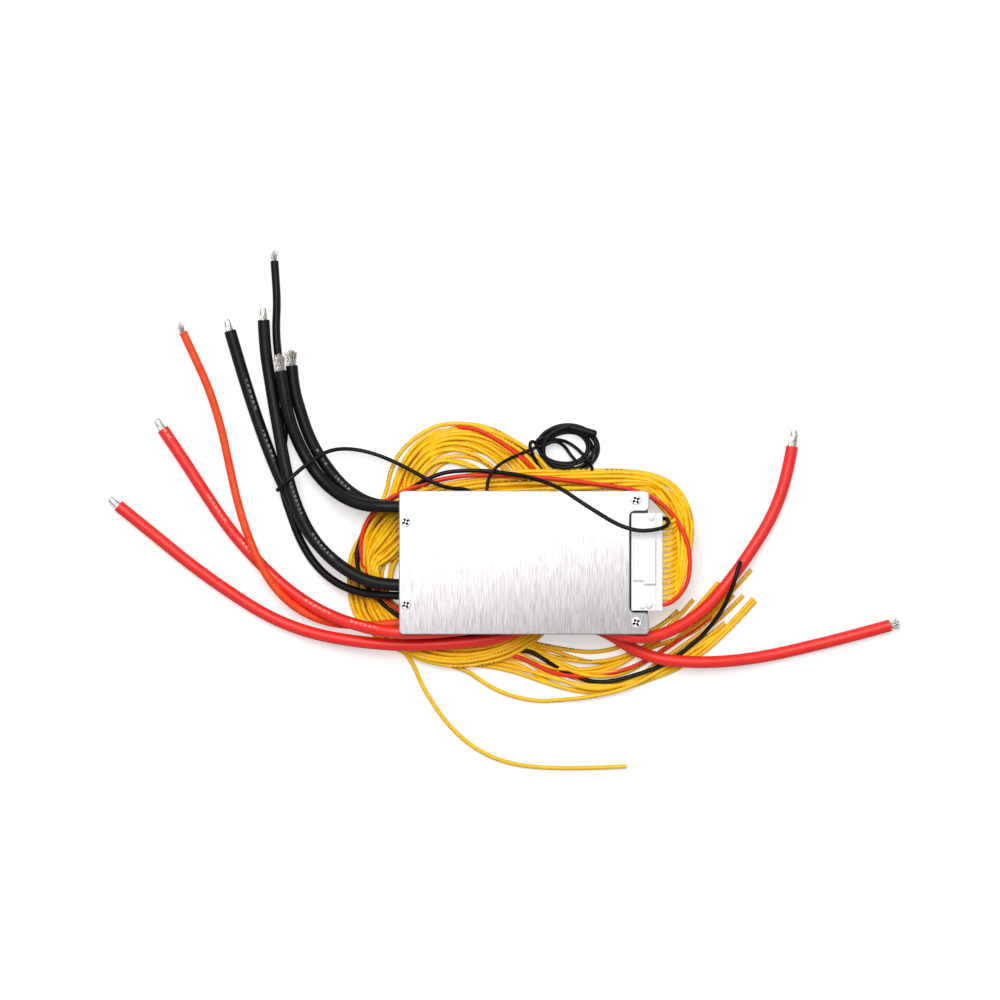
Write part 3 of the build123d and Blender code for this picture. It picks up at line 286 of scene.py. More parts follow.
# Wires of the tails that cross their neighbours: their lane at each of the five stations
TAIL_CROSSERS = {
    1: (1, 2, 3, 3, 2), 3: (3, 2, 1, 1, 2), 5: (5, 4, 3, 3, 4), 6: (5, 6, 7, 8, 8), 8: (9, 8, 7, 6, 6),
    11: (10, 9, 8, 9, 10),
}
LONG_TAIL_WIRE = 1
LOW_TAIL_WIRE = 3
LOW_TAIL_REST = [
    (22, -50.4, 2.3), (36, -47.6, 2.6), (48, -41.4, 2.4), (61.5, -32.6, 1.6), (73.4, -25.6, 0.9),
]
LEG_PLACES = [(-44.8, 15.1), (-44.8, -15.4), (40.1, 23.1), (40.1, -22.0)]
LEG_CLEARANCE = 2.9
BALANCE_RED = [
    (48.1, -15.7, 16), (50.9, -15.7, 16.1), (53.8, -14.4, 16.8), (57.0, -11.2, 17.6),
    (59.3, -7.0, 18.2), (60.0, -2.0, 18.2), (59.9, 3.4, 18), (58.8, 8.4, 17.2), (56.8, 13.0, 15.8),
    (54.0, 17.6, 13.8), (50.2, 21.4, 11.6), (46.0, 24.2, 9.6), (41.0, 26.2, 8.2), (36.2, 27.6, 7.2),
    (24.7, 29.2, 6.6), (9.7, 31, 7), (-1.6, 31.9, 7.2), (-13.1, 32.4, 7.2), (-20.5, 32.2, 7.2),
    (-28.2, 31.6, 7), (-35.6, 29.9, 6.8),
    (-43.2, 27.5, 6.6), (-50.1, 24.4, 6), (-56, 20, 5.4), (-59.8, 15, 5.2), (-61.7, 9.4, 5),
    (-61.9, 3.4, 5), (-60.6, -2.6, 4.9), (-57.2, -8.4, 5), (-52.6, -14, 5.2), (-47.6, -18, 5.6),
    (-40, -24.0, 6), (-28, -26, 6.2), (-15.6, -25, 6.2), (-5, -20.4, 5.6), (3.6, -12.6, 4.4),
    (8.6, -1, 3.8), (8.4, 10.4, 3.6), (7.6, 20, 3.4), (6.4, 27.8, 3), (2.9, 34.6, 3.3),
    (-2.3, 39, 3.6), (-7.9, 43.4, 3.8), (-13.4, 46.8, 3.8), (-18.6, 49.4, 3.7), (-24.2, 50.2, 2.9),
    (-29.2, 49.4, 1.0), (-36.2, 45.6, 0.9), (-41, 40, 0.9), (-45, 33, 0.9), (-48.6, 25.6, 0.9),
    (-53, 17, 0.9), (-59, 8, 0.9), (-62, -2, 0.9), (-60.6, -12, 0.9), (-56.6, -20.6, 0.9),
    (-48.4, -28.2, 0.9), (-38, -33.2, 0.9), (-26, -35, 0.9), (-14, -34.6, 1.4), (-3.4, -34.7, 2.8),
    (5.1, -39.2, 3.7), (11, -41.7, 3.5), (19.5, -42.7, 2.4), (30.3, -41.7, 2.3), (40.4, -38.8, 2.3),
    (50.7, -32.9, 2.6), (60, -26.4, 2.3), (66, -22.2, 1.6), (70.4, -19.6, 0.9),
]
BALANCE_BLACK_REST = [
    (-41.6, 28.4, 6.4), (-47.2, 24.8, 4.4), (-53.4, 20.0, 3.4), (-58.8, 14.4, 3.2), (-62.4, 8.0, 3.6),
    (-63.6, 1.6, 4.2), (-62.4, -4.2, 4.4), (-59.6, -9.4, 5), (-55.4, -14, 5.2), (-50.6, -18, 5.4),
    (-45.8, -21.6, 5.8), (-38.6, -26.2, 6), (-27.6, -28, 6), (-14.6, -27, 6), (-3, -22.4, 5.4),
    (5.8, -13.4, 4.2), (10.6, -1.6, 3.8), (10.4, 10, 3.0), (9.6, 20, 1.6), (8.2, 27.8, 0.9),
    (5.0, 35, 0.9), (1.0, 40.2, 0.9), (-4.2, 43.6, 0.9), (-9.6, 46.4, 0.9), (-14.6, 48.4, 0.9),
    (-19.4, 49.6, 0.9), (-25, 49.6, 0.9), (-33, 47.4, 0.9), (-39.6, 43, 0.9), (-44, 36, 0.9),
    (-47.6, 28, 0.9), (-52, 19, 0.9), (-58.6, 11, 0.9), (-63.2, 1, 0.9), (-62.8, -10, 0.9),
    (-58.6, -20, 0.9), (-51, -27.6, 0.9), (-41.4, -32, 0.9), (-30, -34.2, 0.9), (-19, -34.2, 0.9),
    (-8, -33, 1.4), (0.6, -32.7, 2.6), (5.1, -35.4, 3.6), (10, -38.6, 2.8), (15.4, -41.6, 0.9),
    (21, -43.8, 1.2), (27, -44.8, 3.4), (34.4, -43.7, 3.7), (42.9, -41.1, 3.1), (50.7, -38.4, 2.9),
    (57.8, -33.5, 3), (64, -28.4, 3.2), (68.4, -23.6, 4.4), (73, -16.8, 7.2), (76.2, -9, 10),
    (78.2, -2, 9.8), (79, 0.2, 8.6),
]


def clear_of_legs(x, y):
    """Moves a wire's point out to the side of a leg; the curve between two points isn't moved."""
    for leg_x, leg_y in LEG_PLACES:
        away = Vector((x - leg_x, y - leg_y))
        if 0.01 < away.length < LEG_CLEARANCE:
            x, y = Vector((leg_x, leg_y)) + away.normalized() * LEG_CLEARANCE
    return x, y


def lane_point(station, order, step, swing, stacked=0.0, lane=LANE):
    """Place of one yellow wire at a station: its lane, its layer and a little slack.

    stacked, from 0 to 1, is how far the wires still lie as they do beside the plug.
    """
    low, *groups = station
    rank = order
    for count, outer, inner in groups:
        if rank < count:
            break
        rank -= count
    across = Vector(inner) - Vector(outer)
    share = rank / max(1, count - 1)
    layers = max(2, round(lane * (count - 1) / max(across.length, lane)))
    layer = rank % layers
    share += (order % STACKS / (STACKS - 1) - share) * stacked
    layer += (STACKS - 1 - order // STACKS - layer) * stacked
    pace = SLACK_PACE + SLACK_PACE_GROWTH * order
    slack = swing * math.sin(SLACK_SHIFT * order + pace * step)
    if count == 1:
        layer, slack = 0, 0
    aside = across.normalized() * slack
    x, y = clear_of_legs(outer[0] + across.x * share + aside.x, outer[1] + across.y * share + aside.y)
    return (x, y, low + LAYER * layer)


def yellow_wire(order):
    """Points of one yellow wire from its socket, round both turns, to its cut end."""
    pin_y = FIRST_PIN_Y - PIN_PITCH * (YELLOW_COUNT - order)
    points = [(SOCKET_BOTTOM, pin_y, PIN_HEIGHT), (51.2, pin_y, PIN_HEIGHT)]
    points.append((53.6, pin_y + 0.7, PIN_HEIGHT - 0.1))
    points.append((55.4, pin_y + 2.3, PIN_HEIGHT - 1.0 - 0.12 * order))
    for step, station in enumerate(PLUG_STATIONS + FIRST_TURN):
        stacked = min(1.0, max(0.0, STACK_START - STACK_LOSS * step))
        lane = PLUG_SIDE_LANE if step < 10 else LANE
        x, y, z = lane_point(station, order, step, TURN_SWING * (1 - stacked), stacked, lane)
        if y > pin_y + 4.6 or step > 6:
            points.append((x, y, max(z, PIN_HEIGHT - 1.0 * (y - pin_y + max(0, 54 - x)))))
    after_plug = len(PLUG_STATIONS) + len(FIRST_TURN)
    points += [
        lane_point(station, order, after_plug + step, LOOSE_SWING)
        for step, station in enumerate(SECOND_TURN)
    ]
    if order == LONG_TAIL_WIRE:
        return points + YELLOW_LONG_TAIL
    if order == LOW_TAIL_WIRE:
        points += [lane_point(station, 0, ARC_FIRST_STEP, 0) for station in BOTTOM_ARC[:3]]
        return points + YELLOW_LOW_TAIL + LOW_TAIL_REST
    points += [
        lane_point(station, order, ARC_FIRST_STEP + step, LOOSE_SWING)
        for step, station in enumerate(BOTTOM_ARC)
    ]
    place = order - (order > LONG_TAIL_WIRE) - (order > LOW_TAIL_WIRE)
    lanes = TAIL_CROSSERS.get(place, (place,) * len(TAIL_STATIONS))
    for step, (station, lane) in enumerate(zip(TAIL_STATIONS, lanes)):
        x, y, z = lane_point(station, lane, step, 0)
        y += TAIL_SWING * math.sin(SLACK_SHIFT * place + TAIL_PACE * step)
        points.append((x, y, z + (LAYER if place in TAIL_CROSSERS and step in (1, 2) else 0)))
    near, end = TAIL_ENDS[place]
    points.append((*near, 0.9 + LAYER * (place % 2)))
    if end[0] - near[0] > 14:
        points.append((near[0] + 0.55 * (end[0] - near[0]), near[1] + 0.45 * (end[1] - near[1]), 1.3))
    return points + [(*end, 0.85)]


# The sensor lead's loose coil, lap by lap: half widths, shift of its centre, height
COIL_CENTRE = (15.3, 42.0)
COIL_LAPS = [
    (9.2, 7.0, 0.2, -0.6, 0.7), (11.6, 9.0, -0.1, 0.3, 0.75), (8.3, 6.1, -0.9, 0.7, 0.8),
    (10.7, 8.4, 0.2, -0.4, 2.0), (9.3, 6.6, -0.9, 1.2, 2.1), (11.0, 7.4, -0.6, 1.4, 3.3),
]
COIL_STEPS = 14
COIL_BLEND = 4
COIL_START = 158.0
COIL_LEAD_IN = [(5.4, 44.2, 2.2)]
# After the laps the lead turns back at the left, hangs down under the yellow wires, comes back
# across the middle, is tucked round at the left and crosses the middle again before the bead.
COIL_REST = [
    (2.9, 44.6, 3.9), (1.4, 44.9, 4.2), (0.9, 43.2, 4.2), (1.8, 40.6, 3.9), (3.4, 36.8, 2.4),
    (5.2, 32.6, 0.7), (9.0, 29.2, 0.7), (14.8, 28.0, 0.7),
    (20.4, 28.9, 0.7), (23.8, 31.4, 0.8), (24.4, 34.6, 3.2), (22.8, 37.8, 5.0), (20.2, 40.6, 3.6),
    (17.4, 43.2, 1.6), (13.8, 45.2, 1.8), (9.6, 45.6, 4.2), (5.6, 46.4, 5.2), (3.4, 45.2, 5.2),
    (3.4, 43.0, 5.0), (6.0, 43.0, 4.8), (8.8, 44.7, 4.6), (11.6, 44.8, 4.0), (14.4, 42.6, 2.6),
    (16.4, 39.4, 2.8), (18.4, 37.4, 4.6), (16.2, 35.2, 4.8), (11.6, 35.0, 4.8), (7.4, 37.4, 5.0),
    (5.6, 41.4, 5.4), (6.8, 45.8, 5.8), (10.4, 49.2, 5.8), (15.5, 50.4, 5.8),
]


def coil_points():
    """Loose laps of unlike size, each a little above or beside the one before."""
    points = []
    for lap, (wide, deep, shift_x, shift_y, height) in enumerate(COIL_LAPS):
        after = COIL_LAPS[min(lap + 1, len(COIL_LAPS) - 1)]
        for step in range(COIL_STEPS):
            blend = max(0.0, (step - COIL_STEPS + COIL_BLEND) / COIL_BLEND)
            angle = math.radians(COIL_START - 360 * step / COIL_STEPS)
            reach_x = wide + (after[0] - wide) * blend
            reach_y = deep + (after[1] - deep) * blend
            x = COIL_CENTRE[0] + shift_x + reach_x * math.cos(angle)
            y = COIL_CENTRE[1] + shift_y + reach_y * math.sin(angle)
            points.append((x, y, height + (after[4] - height) * blend))
    return points


def linear(hex_colour):
    """Colour for a shader from the six digits that a paint chart gives."""
    shades = [int(hex_colour[at : at + 2], 16) / 255 for at in (1, 3, 5)]
    return (*[s / 12.92 if s <= 0.04045 else ((s + 0.055) / 1.055) ** 2.4 for s in shades], 1.0)


def add(tree, kind, settings=None, links=None):
    """One node with its settings, its fixed inputs and the sockets that feed it."""
    node = tree.nodes.new(kind)
    for name, value in (settings or {}).items():
        if isinstance(name, int) or name in node.inputs:
            node.inputs[name].default_value = value
        else:
            setattr(node, name, value)
    for name, socket in (links or {}).items():
        tree.links.new(socket, node.inputs[name])
    return node


def maths(tree, operation, first, second, third=None):
    """One sum on sockets or numbers."""
    values = {0: first, 1: second, 2: third}
    numbers = {slot: value for slot, value in values.items() if isinstance(value, (int, float))}
    sockets = {slot: value for slot, value in values.items() if isinstance(value, bpy.types.NodeSocket)}
    return add(tree, "ShaderNodeMath", {"operation": operation, **numbers}, sockets).outputs[0]


def blend_colours(tree, factor, first, second):
    """Mix of two colours, each a socket or a linear colour."""
    node = add(tree, "ShaderNodeMix", {"data_type": "RGBA"}, {0: factor})
    for slot, colour in ((6, first), (7, second)):
        if isinstance(colour, bpy.types.NodeSocket):
            tree.links.new(colour, node.inputs[slot])
        else:
            node.inputs[slot].default_value = colour
    return node.outputs[2]


def finish_of(name, colours, roughness, grain_mm, bump_mm, stretch=(1, 1, 1), **sockets):
    """Material with fine unevenness of colour, gloss and surface, in grains of the size given.

    Returns the material, its tree and its shader.
    """
    material = bpy.data.materials.new(name)
    material.use_nodes = True
    material.diffuse_color = linear(colours[0])
    tree = material.node_tree
    shader = tree.nodes["Principled BSDF"]
    for socket, value in sockets.items():
        shader.inputs[socket.replace("_", " ")].default_value = value
    place = add(tree, "ShaderNodeTexCoord")
    scaled = add(tree, "ShaderNodeMapping", {"Scale": stretch}, {"Vector": place.outputs["Object"]})
    noise = add(
        tree, "ShaderNodeTexNoise", {"Scale": 1000 / grain_mm, "Detail": 4.0, "Roughness": 0.6},
        {"Vector": scaled.outputs["Vector"]},
    )
    spread = add(
        tree, "ShaderNodeMapRange", {"From Min": 0.3, "From Max": 0.7}, {"Value": noise.outputs["Fac"]}
    )
    colour = blend_colours(tree, spread.outputs["Result"], *[linear(shade) for shade in colours])
    tree.links.new(colour, shader.inputs["Base Color"])
    gloss = add(
        tree, "ShaderNodeMapRange", {"To Min": roughness[0], "To Max": roughness[1]},
        {"Value": noise.outputs["Fac"]},
    )
    tree.links.new(gloss.outputs["Result"], shader.inputs["Roughness"])
    bump = add(
        tree, "ShaderNodeBump", {"Strength": 0.5, "Distance": bump_mm * MM},
        {"Height": noise.outputs["Fac"]},
    )
    tree.links.new(bump.outputs["Normal"], shader.inputs["Normal"])
    return material, tree, shader


def plain_finish(*facts, **sockets):
    return finish_of(*facts, **sockets)[0]


def brushed_cover():
    """Brushed aluminium: fine lines across the width, so it mirrors sharply only along them.

    That gives the plate its white glare with a soft grey end. The real lines, about 0.05 mm apart,
    are too fine to show, so they are drawn 0.28 mm wide and about 6 mm long.
    """
    material, tree, shader = finish_of(
        "brushed aluminium", ("#8C898C", "#B9B6B8"), (0.128, 0.145), 0.28, 0.0004, (1, 0.045, 1),
        Metallic=1.0, Anisotropic=0.9,
    )
    along = add(tree, "ShaderNodeCombineXYZ", {"X": 1.0})
    tree.links.new(along.outputs["Vector"], shader.inputs["Tangent"])
    return material


SCREW_PLACES = LEG_PLACES
# Painted shade on each screw's cross: turn of the arms, their reach, half width, and the bright middle
# left unpainted
CROSS_TURN = 30.0
CROSS_REACH = 1.45
CROSS_HALF_WIDTH = 0.5
CROSS_MIDDLE = 0.3


def cross_head_steel():
    """Bright plated steel, so the heads flash white; the arms of the cross recess, and a band of the
    head's top along them, are painted dark as shade.

    The plating's 0.5 mm unevenness is coarser than the real one, which is too fine to show.
    """
    material, tree, shader = finish_of(
        "plated screw steel", ("#D2D0CE", "#F1F0EF"), (0.2, 0.34), 0.5, 0.01, Metallic=1.0
    )
    place = add(tree, "ShaderNodeTexCoord").outputs["Object"]
    flat = add(tree, "ShaderNodeVectorMath", {"operation": "MULTIPLY", 1: (1, 1, 0)}, {0: place})
    turn = math.radians(CROSS_TURN)
    arms = ((math.cos(turn), math.sin(turn), 0), (-math.sin(turn), math.cos(turn), 0))
    shade = None
    for x, y in SCREW_PLACES:
        away = add(
            tree, "ShaderNodeVectorMath", {"operation": "SUBTRACT", 1: mm((x, y, 0))},
            {0: flat.outputs["Vector"]},
        ).outputs["Vector"]
        sides = [
            maths(tree, "ABSOLUTE", add(
                tree, "ShaderNodeVectorMath", {"operation": "DOT_PRODUCT", 1: arm}, {0: away}
            ).outputs["Value"], 0)
            for arm in arms
        ]
        narrow = maths(tree, "LESS_THAN", maths(tree, "MINIMUM", *sides), CROSS_HALF_WIDTH * MM)
        far = maths(tree, "MAXIMUM", *sides)
        within = maths(tree, "LESS_THAN", far, CROSS_REACH * MM)
        outside = maths(tree, "GREATER_THAN", far, CROSS_MIDDLE * MM)
        painted_arm_shade = maths(tree, "MULTIPLY", maths(tree, "MULTIPLY", narrow, within), outside)
        shade = painted_arm_shade if shade is None else maths(tree, "MAXIMUM", shade, painted_arm_shade)
    # Painted shade: the arms of each cross recess and a band round them on the head's top are painted
    # near-black, wider than the cut recess
    steel = shader.inputs["Base Color"].links[0].from_socket
    tree.links.new(blend_colours(tree, shade, steel, linear("#1D1613")), shader.inputs["Base Color"])
    return material


# Printed insulation: its grain and bump in mm, strokes within a letter, how much of the noise is
# inked, half the gap between two words, and the inked share of a letter's length
PRINTED_GRAIN = 3.0
PRINTED_BUMP = 0.006
STROKE_SHARE = 0.3
STROKES_HIGH = 1.2
INK_LEVEL = 0.46
WORD_GAP_SHARE = 0.12
LETTER_SHARE = 0.62


def printed_insulation(name, colours, roughness, ink, print_facts, **sockets):
    """Extruded insulation with a line of unreadable printed marks along stretches of the wire.

    The print breaks the smooth colour with faint specks. The wire's own map runs along its length
    and round it. print_facts: the wire's length, how long one stretch of print is, how far apart
    two stretches start, where the first starts, how long a letter is, where the line lies round the
    wire and its half width there. Each stretch has a gap in its middle, as between two words.
    """
    material, tree, shader = finish_of(
        name, colours, roughness, PRINTED_GRAIN, PRINTED_BUMP, **sockets
    )
    length_mm, run, every, start, letter, side, half = print_facts
    place = add(tree, "ShaderNodeTexCoord")
    parts = add(tree, "ShaderNodeSeparateXYZ", {}, {"Vector": place.outputs["UV"]})
    along = maths(tree, "MULTIPLY", parts.outputs["X"], length_mm)
    letters = add(
        tree, "ShaderNodeCombineXYZ", {},
        {
            "X": maths(tree, "DIVIDE", along, letter * STROKE_SHARE),
            "Y": maths(tree, "MULTIPLY", parts.outputs["Y"], STROKES_HIGH / half),
        },
    )
    strokes = add(
        tree, "ShaderNodeTexNoise", {"noise_dimensions": "2D", "Scale": 1.0, "Detail": 1.0},
        {"Vector": letters.outputs["Vector"]},
    )
    ink_here = maths(tree, "GREATER_THAN", strokes.outputs["Fac"], INK_LEVEL)
    line = maths(tree, "COMPARE", parts.outputs["Y"], side, half)
    past = maths(tree, "FLOORED_MODULO", maths(tree, "SUBTRACT", along, start), every)
    gap = maths(tree, "COMPARE", past, run / 2, WORD_GAP_SHARE * run)
    stretch = maths(tree, "SUBTRACT", maths(tree, "LESS_THAN", past, run), gap)
    letter_place = maths(tree, "FLOORED_MODULO", along, letter)
    mark = maths(tree, "LESS_THAN", letter_place, LETTER_SHARE * letter)
    mask = maths(tree, "MULTIPLY", maths(tree, "MULTIPLY", ink_here, line), stretch)
    mask = maths(tree, "MULTIPLY", mask, mark)
    insulation = shader.inputs["Base Color"].links[0].from_socket
    tree.links.new(blend_colours(tree, mask, insulation, linear(ink)), shader.inputs["Base Color"])
    return material


VINYL = {"Specular_IOR_Level": 0.2}
RUBBER = {"Specular_IOR_Level": 0.14}
GLOSSY_RUBBER = {"Specular_IOR_Level": 0.5}
GLOSSY_VINYL = {"Specular_IOR_Level": 0.34}
YELLOWS = ("#FCBA00", "#FFD004")
REDS = ("#F01C12", "#F6281C")
ORANGES = ("#F4441A", "#FB5626")
DEEP_BLACKS = ("#08080B", "#101014")

# Each finish: name, its two shades, its range of roughness, grain and bump in mm. Where the real
# grain is finer than a pixel, it is drawn from 0.3 to 1.2 mm wide so that it shows at all.

# Extruded vinyl: smooth, with a soft line of light along the wire. Its 6 mm grain is the slow
# unevenness that the extruder leaves.
red_pvc = plain_finish("red wire vinyl", ("#EC3018", "#F23E26"), (0.3, 0.4), 6.0, 0.004, **VINYL)
black_pvc = plain_finish("black wire vinyl", ("#09090B", "#101013"), (0.3, 0.42), 6.0, 0.004, **RUBBER)
# Extruded silicone rubber: a satin skin with a broad, dull light along it and a 4 mm unevenness;
# the black one is duller.
red_silicone = plain_finish("red silicone rubber", REDS, (0.4, 0.5), 4.0, 0.01, **GLOSSY_RUBBER)
orange_silicone = plain_finish("orange-red silicone rubber", ORANGES, (0.4, 0.5), 4.0, 0.01, **VINYL)
black_silicone = plain_finish("black silicone rubber", DEEP_BLACKS, (0.34, 0.44), 4.0, 0.01, **RUBBER)
# Tinned copper: each strand glints, with dull grey between. Grain coarser than the real one.
tinned_strand = plain_finish(
    "tinned copper strand", ("#8A8580", "#D2CFCB"), (0.18, 0.32), 0.8, 0.005, Metallic=1.0
)
# Moulded nylon: a bright, slightly satin white, and a warmer one for the lock. The moulds' 0.05 mm
# texture is drawn 1.2 mm wide.
white_nylon = plain_finish("moulded white nylon", ("#F8F8FB", "#FEFEFF"), (0.42, 0.55), 1.2, 0.01)
cream_nylon = plain_finish("moulded cream nylon", ("#FAF6F2", "#FFFCF9"), (0.45, 0.58), 1.2, 0.01)
# Turned brass: a warm shine with faint tool marks, drawn coarser than the real 0.1 mm.
brass = plain_finish("turned brass", ("#C8A45A", "#E4C680"), (0.24, 0.36), 0.5, 0.01, Metallic=1.0)
# Laminate under solder mask: dark green with a weak gloss; 0.8 mm is the glass cloth's weave.
laminate = plain_finish("green board laminate", ("#0A3220", "#0F4229"), (0.3, 0.45), 0.8, 0.02)
# Tin plate: a soft white metal; its frosting is drawn 0.6 mm wide, coarser than it is.
tin_plate = plain_finish("tin plate", ("#BDBDBF", "#E2E2E3"), (0.28, 0.42), 0.6, 0.01, Metallic=1.0)
# Filled silicone pad: chalky blue-grey with no shine; the filler's grit is drawn 0.4 mm wide.
thermal_pad = plain_finish("thermal pad silicone", ("#7F8B99", "#95A1AE"), (0.7, 0.85), 0.4, 0.03)
# Moulded epoxy: dull near-black; the mould's spark texture is drawn 0.3 mm wide.
black_epoxy = plain_finish("moulded black epoxy", ("#17171A", "#26262A"), (0.5, 0.65), 0.3, 0.02)
# Drawn aluminium: a pale satin metal; its drawing marks are drawn 0.6 mm wide.
can_aluminium = plain_finish(
    "drawn aluminium can", ("#BFC1C5", "#DADBDE"), (0.25, 0.38), 0.6, 0.01, Metallic=1.0
)
# Solder: a bright, rippled bead; the ripples are its real 1.2 mm.
solder = plain_finish("solder", ("#AFAFB1", "#DCDCDD"), (0.22, 0.4), 1.2, 0.06, Metallic=1.0)
# Cured silicone sealant: soft white dabs with a wet shine; 1 mm is its smeared surface.
sealant = plain_finish("white silicone sealant", ("#F4F3F2", "#FDFDFC"), (0.3, 0.45), 1.0, 0.04)

NODE_FINISHES = {
    "cover_plate": brushed_cover(),
    "cover_screws": cross_head_steel(),
    "upper_spacers": brass,
    "legs": brass,
    "circuit_board": laminate,
    "balance_header": white_nylon,
    "header_pins": tin_plate,
    "header_lock": cream_nylon,
    "silicone_dabs": sealant,
    "balance_plug": white_nylon,
    "thermal_pads": thermal_pad,
    "mosfet_bodies": black_epoxy,
    "mosfet_metal": tin_plate,
    "shunt_resistors": tin_plate,
    "bleed_resistors": black_epoxy,
    "controller_chip": black_epoxy,
    "controller_leads": tin_plate,
    "sense_chips": black_epoxy,
    "capacitors": can_aluminium,
    "signal_header": white_nylon,
    "sensor_header": white_nylon,
    "signal_plug": white_nylon,
    "sensor_plug": white_nylon,
    "solder_joints": solder,
    "sensor_head": black_pvc,
}
for node_name, finish in NODE_FINISHES.items():
    node = board[node_name]
    node.data.materials.clear()
    node.data.materials.append(finish)


def cable(name, route, diameter, finish, steps=8, sides=5):
    """Round cable on one smooth line through its route's points."""
    line = bpy.data.curves.new(name, "CURVE")
    line.dimensions = "3D"
    line.bevel_depth = diameter * MM / 2
    line.bevel_resolution = sides
    line.resolution_u = steps
    line.use_fill_caps = True
    spline = line.splines.new("NURBS")
    spline.points.add(len(route) - 1)
    for knot, point in zip(spline.points, route):
        knot.co = (*mm(point), 1.0)
    spline.order_u = 3
    spline.use_endpoint_u = True
    piece = bpy.data.objects.new(name, line)
    scene.collection.objects.link(piece)
    line.materials.append(finish)
    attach(piece, "root")
    return piece


GOLDEN_ANGLE = 2.4
STRAND_FLOOR = 0.3


def strands(name, route, core, reach, tip):
    """Bare tinned strands at a cable's cut end, twisted and tinned together or frayed.

    The strands are laid out as sunflower seeds are, by the golden angle, and each ends at a length
    of its own. Frayed ones spread and sway apart, and tinned ones draw together at their tips.
    """
    count, thick, spread, twist = TIPS[tip]
    end = Vector(route[-1])
    ahead = (end - Vector(route[-2])).normalized()
    side = ahead.cross(Vector((0, 0, 1))).normalized()
    up = side.cross(ahead)
    line = bpy.data.curves.new(name, "CURVE")
    line.dimensions = "3D"
    line.bevel_depth = thick / 2 * MM
    line.bevel_resolution = 1
    line.resolution_u = 5
    line.use_fill_caps = True
    for index in range(count):
        out = math.sqrt((index + 0.5) / count)
        radius = (core - thick) / 2 * out
        long = reach * (1 - 0.16 * out**3 - spread * 0.3 * abs(math.sin(3.7 * index)))
        spline = line.splines.new("NURBS")
        spline.points.add(3)
        for knot, share in zip(spline.points, (-0.15, 0.3, 0.65, 1.0)):
            turn = GOLDEN_ANGLE * index + twist * share
            bulge = 1 + spread * share - (0 if spread else 0.3 * share**4)
            across = (side * math.cos(turn) + up * math.sin(turn)) * radius * bulge
            sway = side * math.cos(5.1 * index) * spread * radius * share**2
            point = end + ahead * long * share + across + sway
            point.z = max(point.z, STRAND_FLOOR)
            knot.co = (*mm(point), 1.0)
        spline.order_u = 3
        spline.use_endpoint_u = True
    piece = bpy.data.objects.new(name, line)
    scene.collection.objects.link(piece)
    line.materials.append(tinned_strand)
    bpy.ops.object.select_all(action="DESELECT")
    piece.select_set(True)
    bpy.context.view_layer.objects.active = piece
    bpy.ops.object.convert(target="MESH")
    piece = bpy.context.view_layer.objects.active
    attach(piece, "root")
    return piece


# Bare ends: how many strands show, their thickness, how far they fray, and how far they twist
TIPS = {
    "tinned": (26, 0.62, 0.0, 0.9),
    "frayed": (44, 0.36, 0.55, 0.5),
    "thin": (15, 0.4, 0.0, 0.9),
    "thin frayed": (15, 0.3, 1.5, 0.4),
}
# Cable: route, diameter, finish, slot, length, then its strands' core, reach and kind of tip
POWER_CABLES = {
    "black_cable_1": (BLACK_CABLE_1, 4.5, black_silicone, "black_silicone", 82, 3.0, 6.5, "frayed"),
    "black_cable_2": (BLACK_CABLE_2, 4.5, black_silicone, "black_silicone", 78, 3.0, 6.3, "frayed"),
    "black_cable_3": (BLACK_CABLE_3, 4.5, black_silicone, "black_silicone", 127, 2.9, 4.6, "tinned"),
    "black_cable_4": (BLACK_CABLE_4, 4.5, black_silicone, "black_silicone", 126, 2.9, 4.4, "tinned"),
    "black_charge_lead": (
        BLACK_CHARGE_LEAD, 3, black_silicone, "black_silicone", 156, 1.6, 4.6, "thin frayed",
    ),
    "red_cable_1": (RED_CABLE_1, 4.5, red_silicone, "red_silicone", 172, 2.9, 4.4, "tinned"),
    "red_cable_2": (RED_CABLE_2, 4.5, red_silicone, "red_silicone", 167, 2.9, 4.4, "tinned"),
    "red_cable_3": (RED_CABLE_3, 4.5, red_silicone, "red_silicone", 124, 3.4, 6.2, "tinned"),
    "red_cable_4": (RED_CABLE_4, 4.5, red_silicone, "red_silicone", 125, 2.7, 3.8, "frayed"),
    "red_charge_lead": (
        RED_CHARGE_LEAD, 3, orange_silicone, "orange_red_silicone", 181, 1.6, 4.2, "thin frayed",
    ),
}
# Printed cables: run of print, pitch of runs, start, letter, side and half width of the line.
# Faint ink on black silicone and pale ink on red.
BLACK_CABLE_INK = "#8A888B"
RED_CABLE_INK = "#F6A8A0"
CABLE_PRINTS = {
    "black_cable_2": (22, 60, 24, 2.0, 0.25, 0.03),
    "black_cable_3": (38, 200, 31, 2.0, 0.25, 0.03),
    "black_cable_4": (30, 200, 83, 2.0, 0.25, 0.03),
    "red_cable_2": (33, 56.5, 51, 2.0, 0.25, 0.03),
}
for name, facts in POWER_CABLES.items():
    route, diameter, finish, slot, length, core, reach, tip = facts
    if name in CABLE_PRINTS:
        dark = "black" in name
        finish = printed_insulation(
            f"{name.replace('_', ' ')} rubber", DEEP_BLACKS if dark else REDS, (0.36, 0.46),
            BLACK_CABLE_INK if dark else RED_CABLE_INK, (length, *CABLE_PRINTS[name]),
            **(RUBBER if dark else GLOSSY_RUBBER),
        )
    piece = cable(f"{name}_insulation", route, diameter, finish)
    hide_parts(name)
    end = strands(f"{name}_strands", route, core, reach, tip)
    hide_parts(f"{name}_end")

HARNESS_NODES = (
    "harness_fan", "harness_run", "harness_turns", "harness_tails", "yellow_long_tail", "yellow_low_tail",
)


def harness_wire(name, route, finish, stands_for):
    """One wire of the balance harness, from its socket in the plug to its cut end."""
    piece = cable(name, route, WIRE, finish, 5, 3)
    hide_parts(*stands_for)


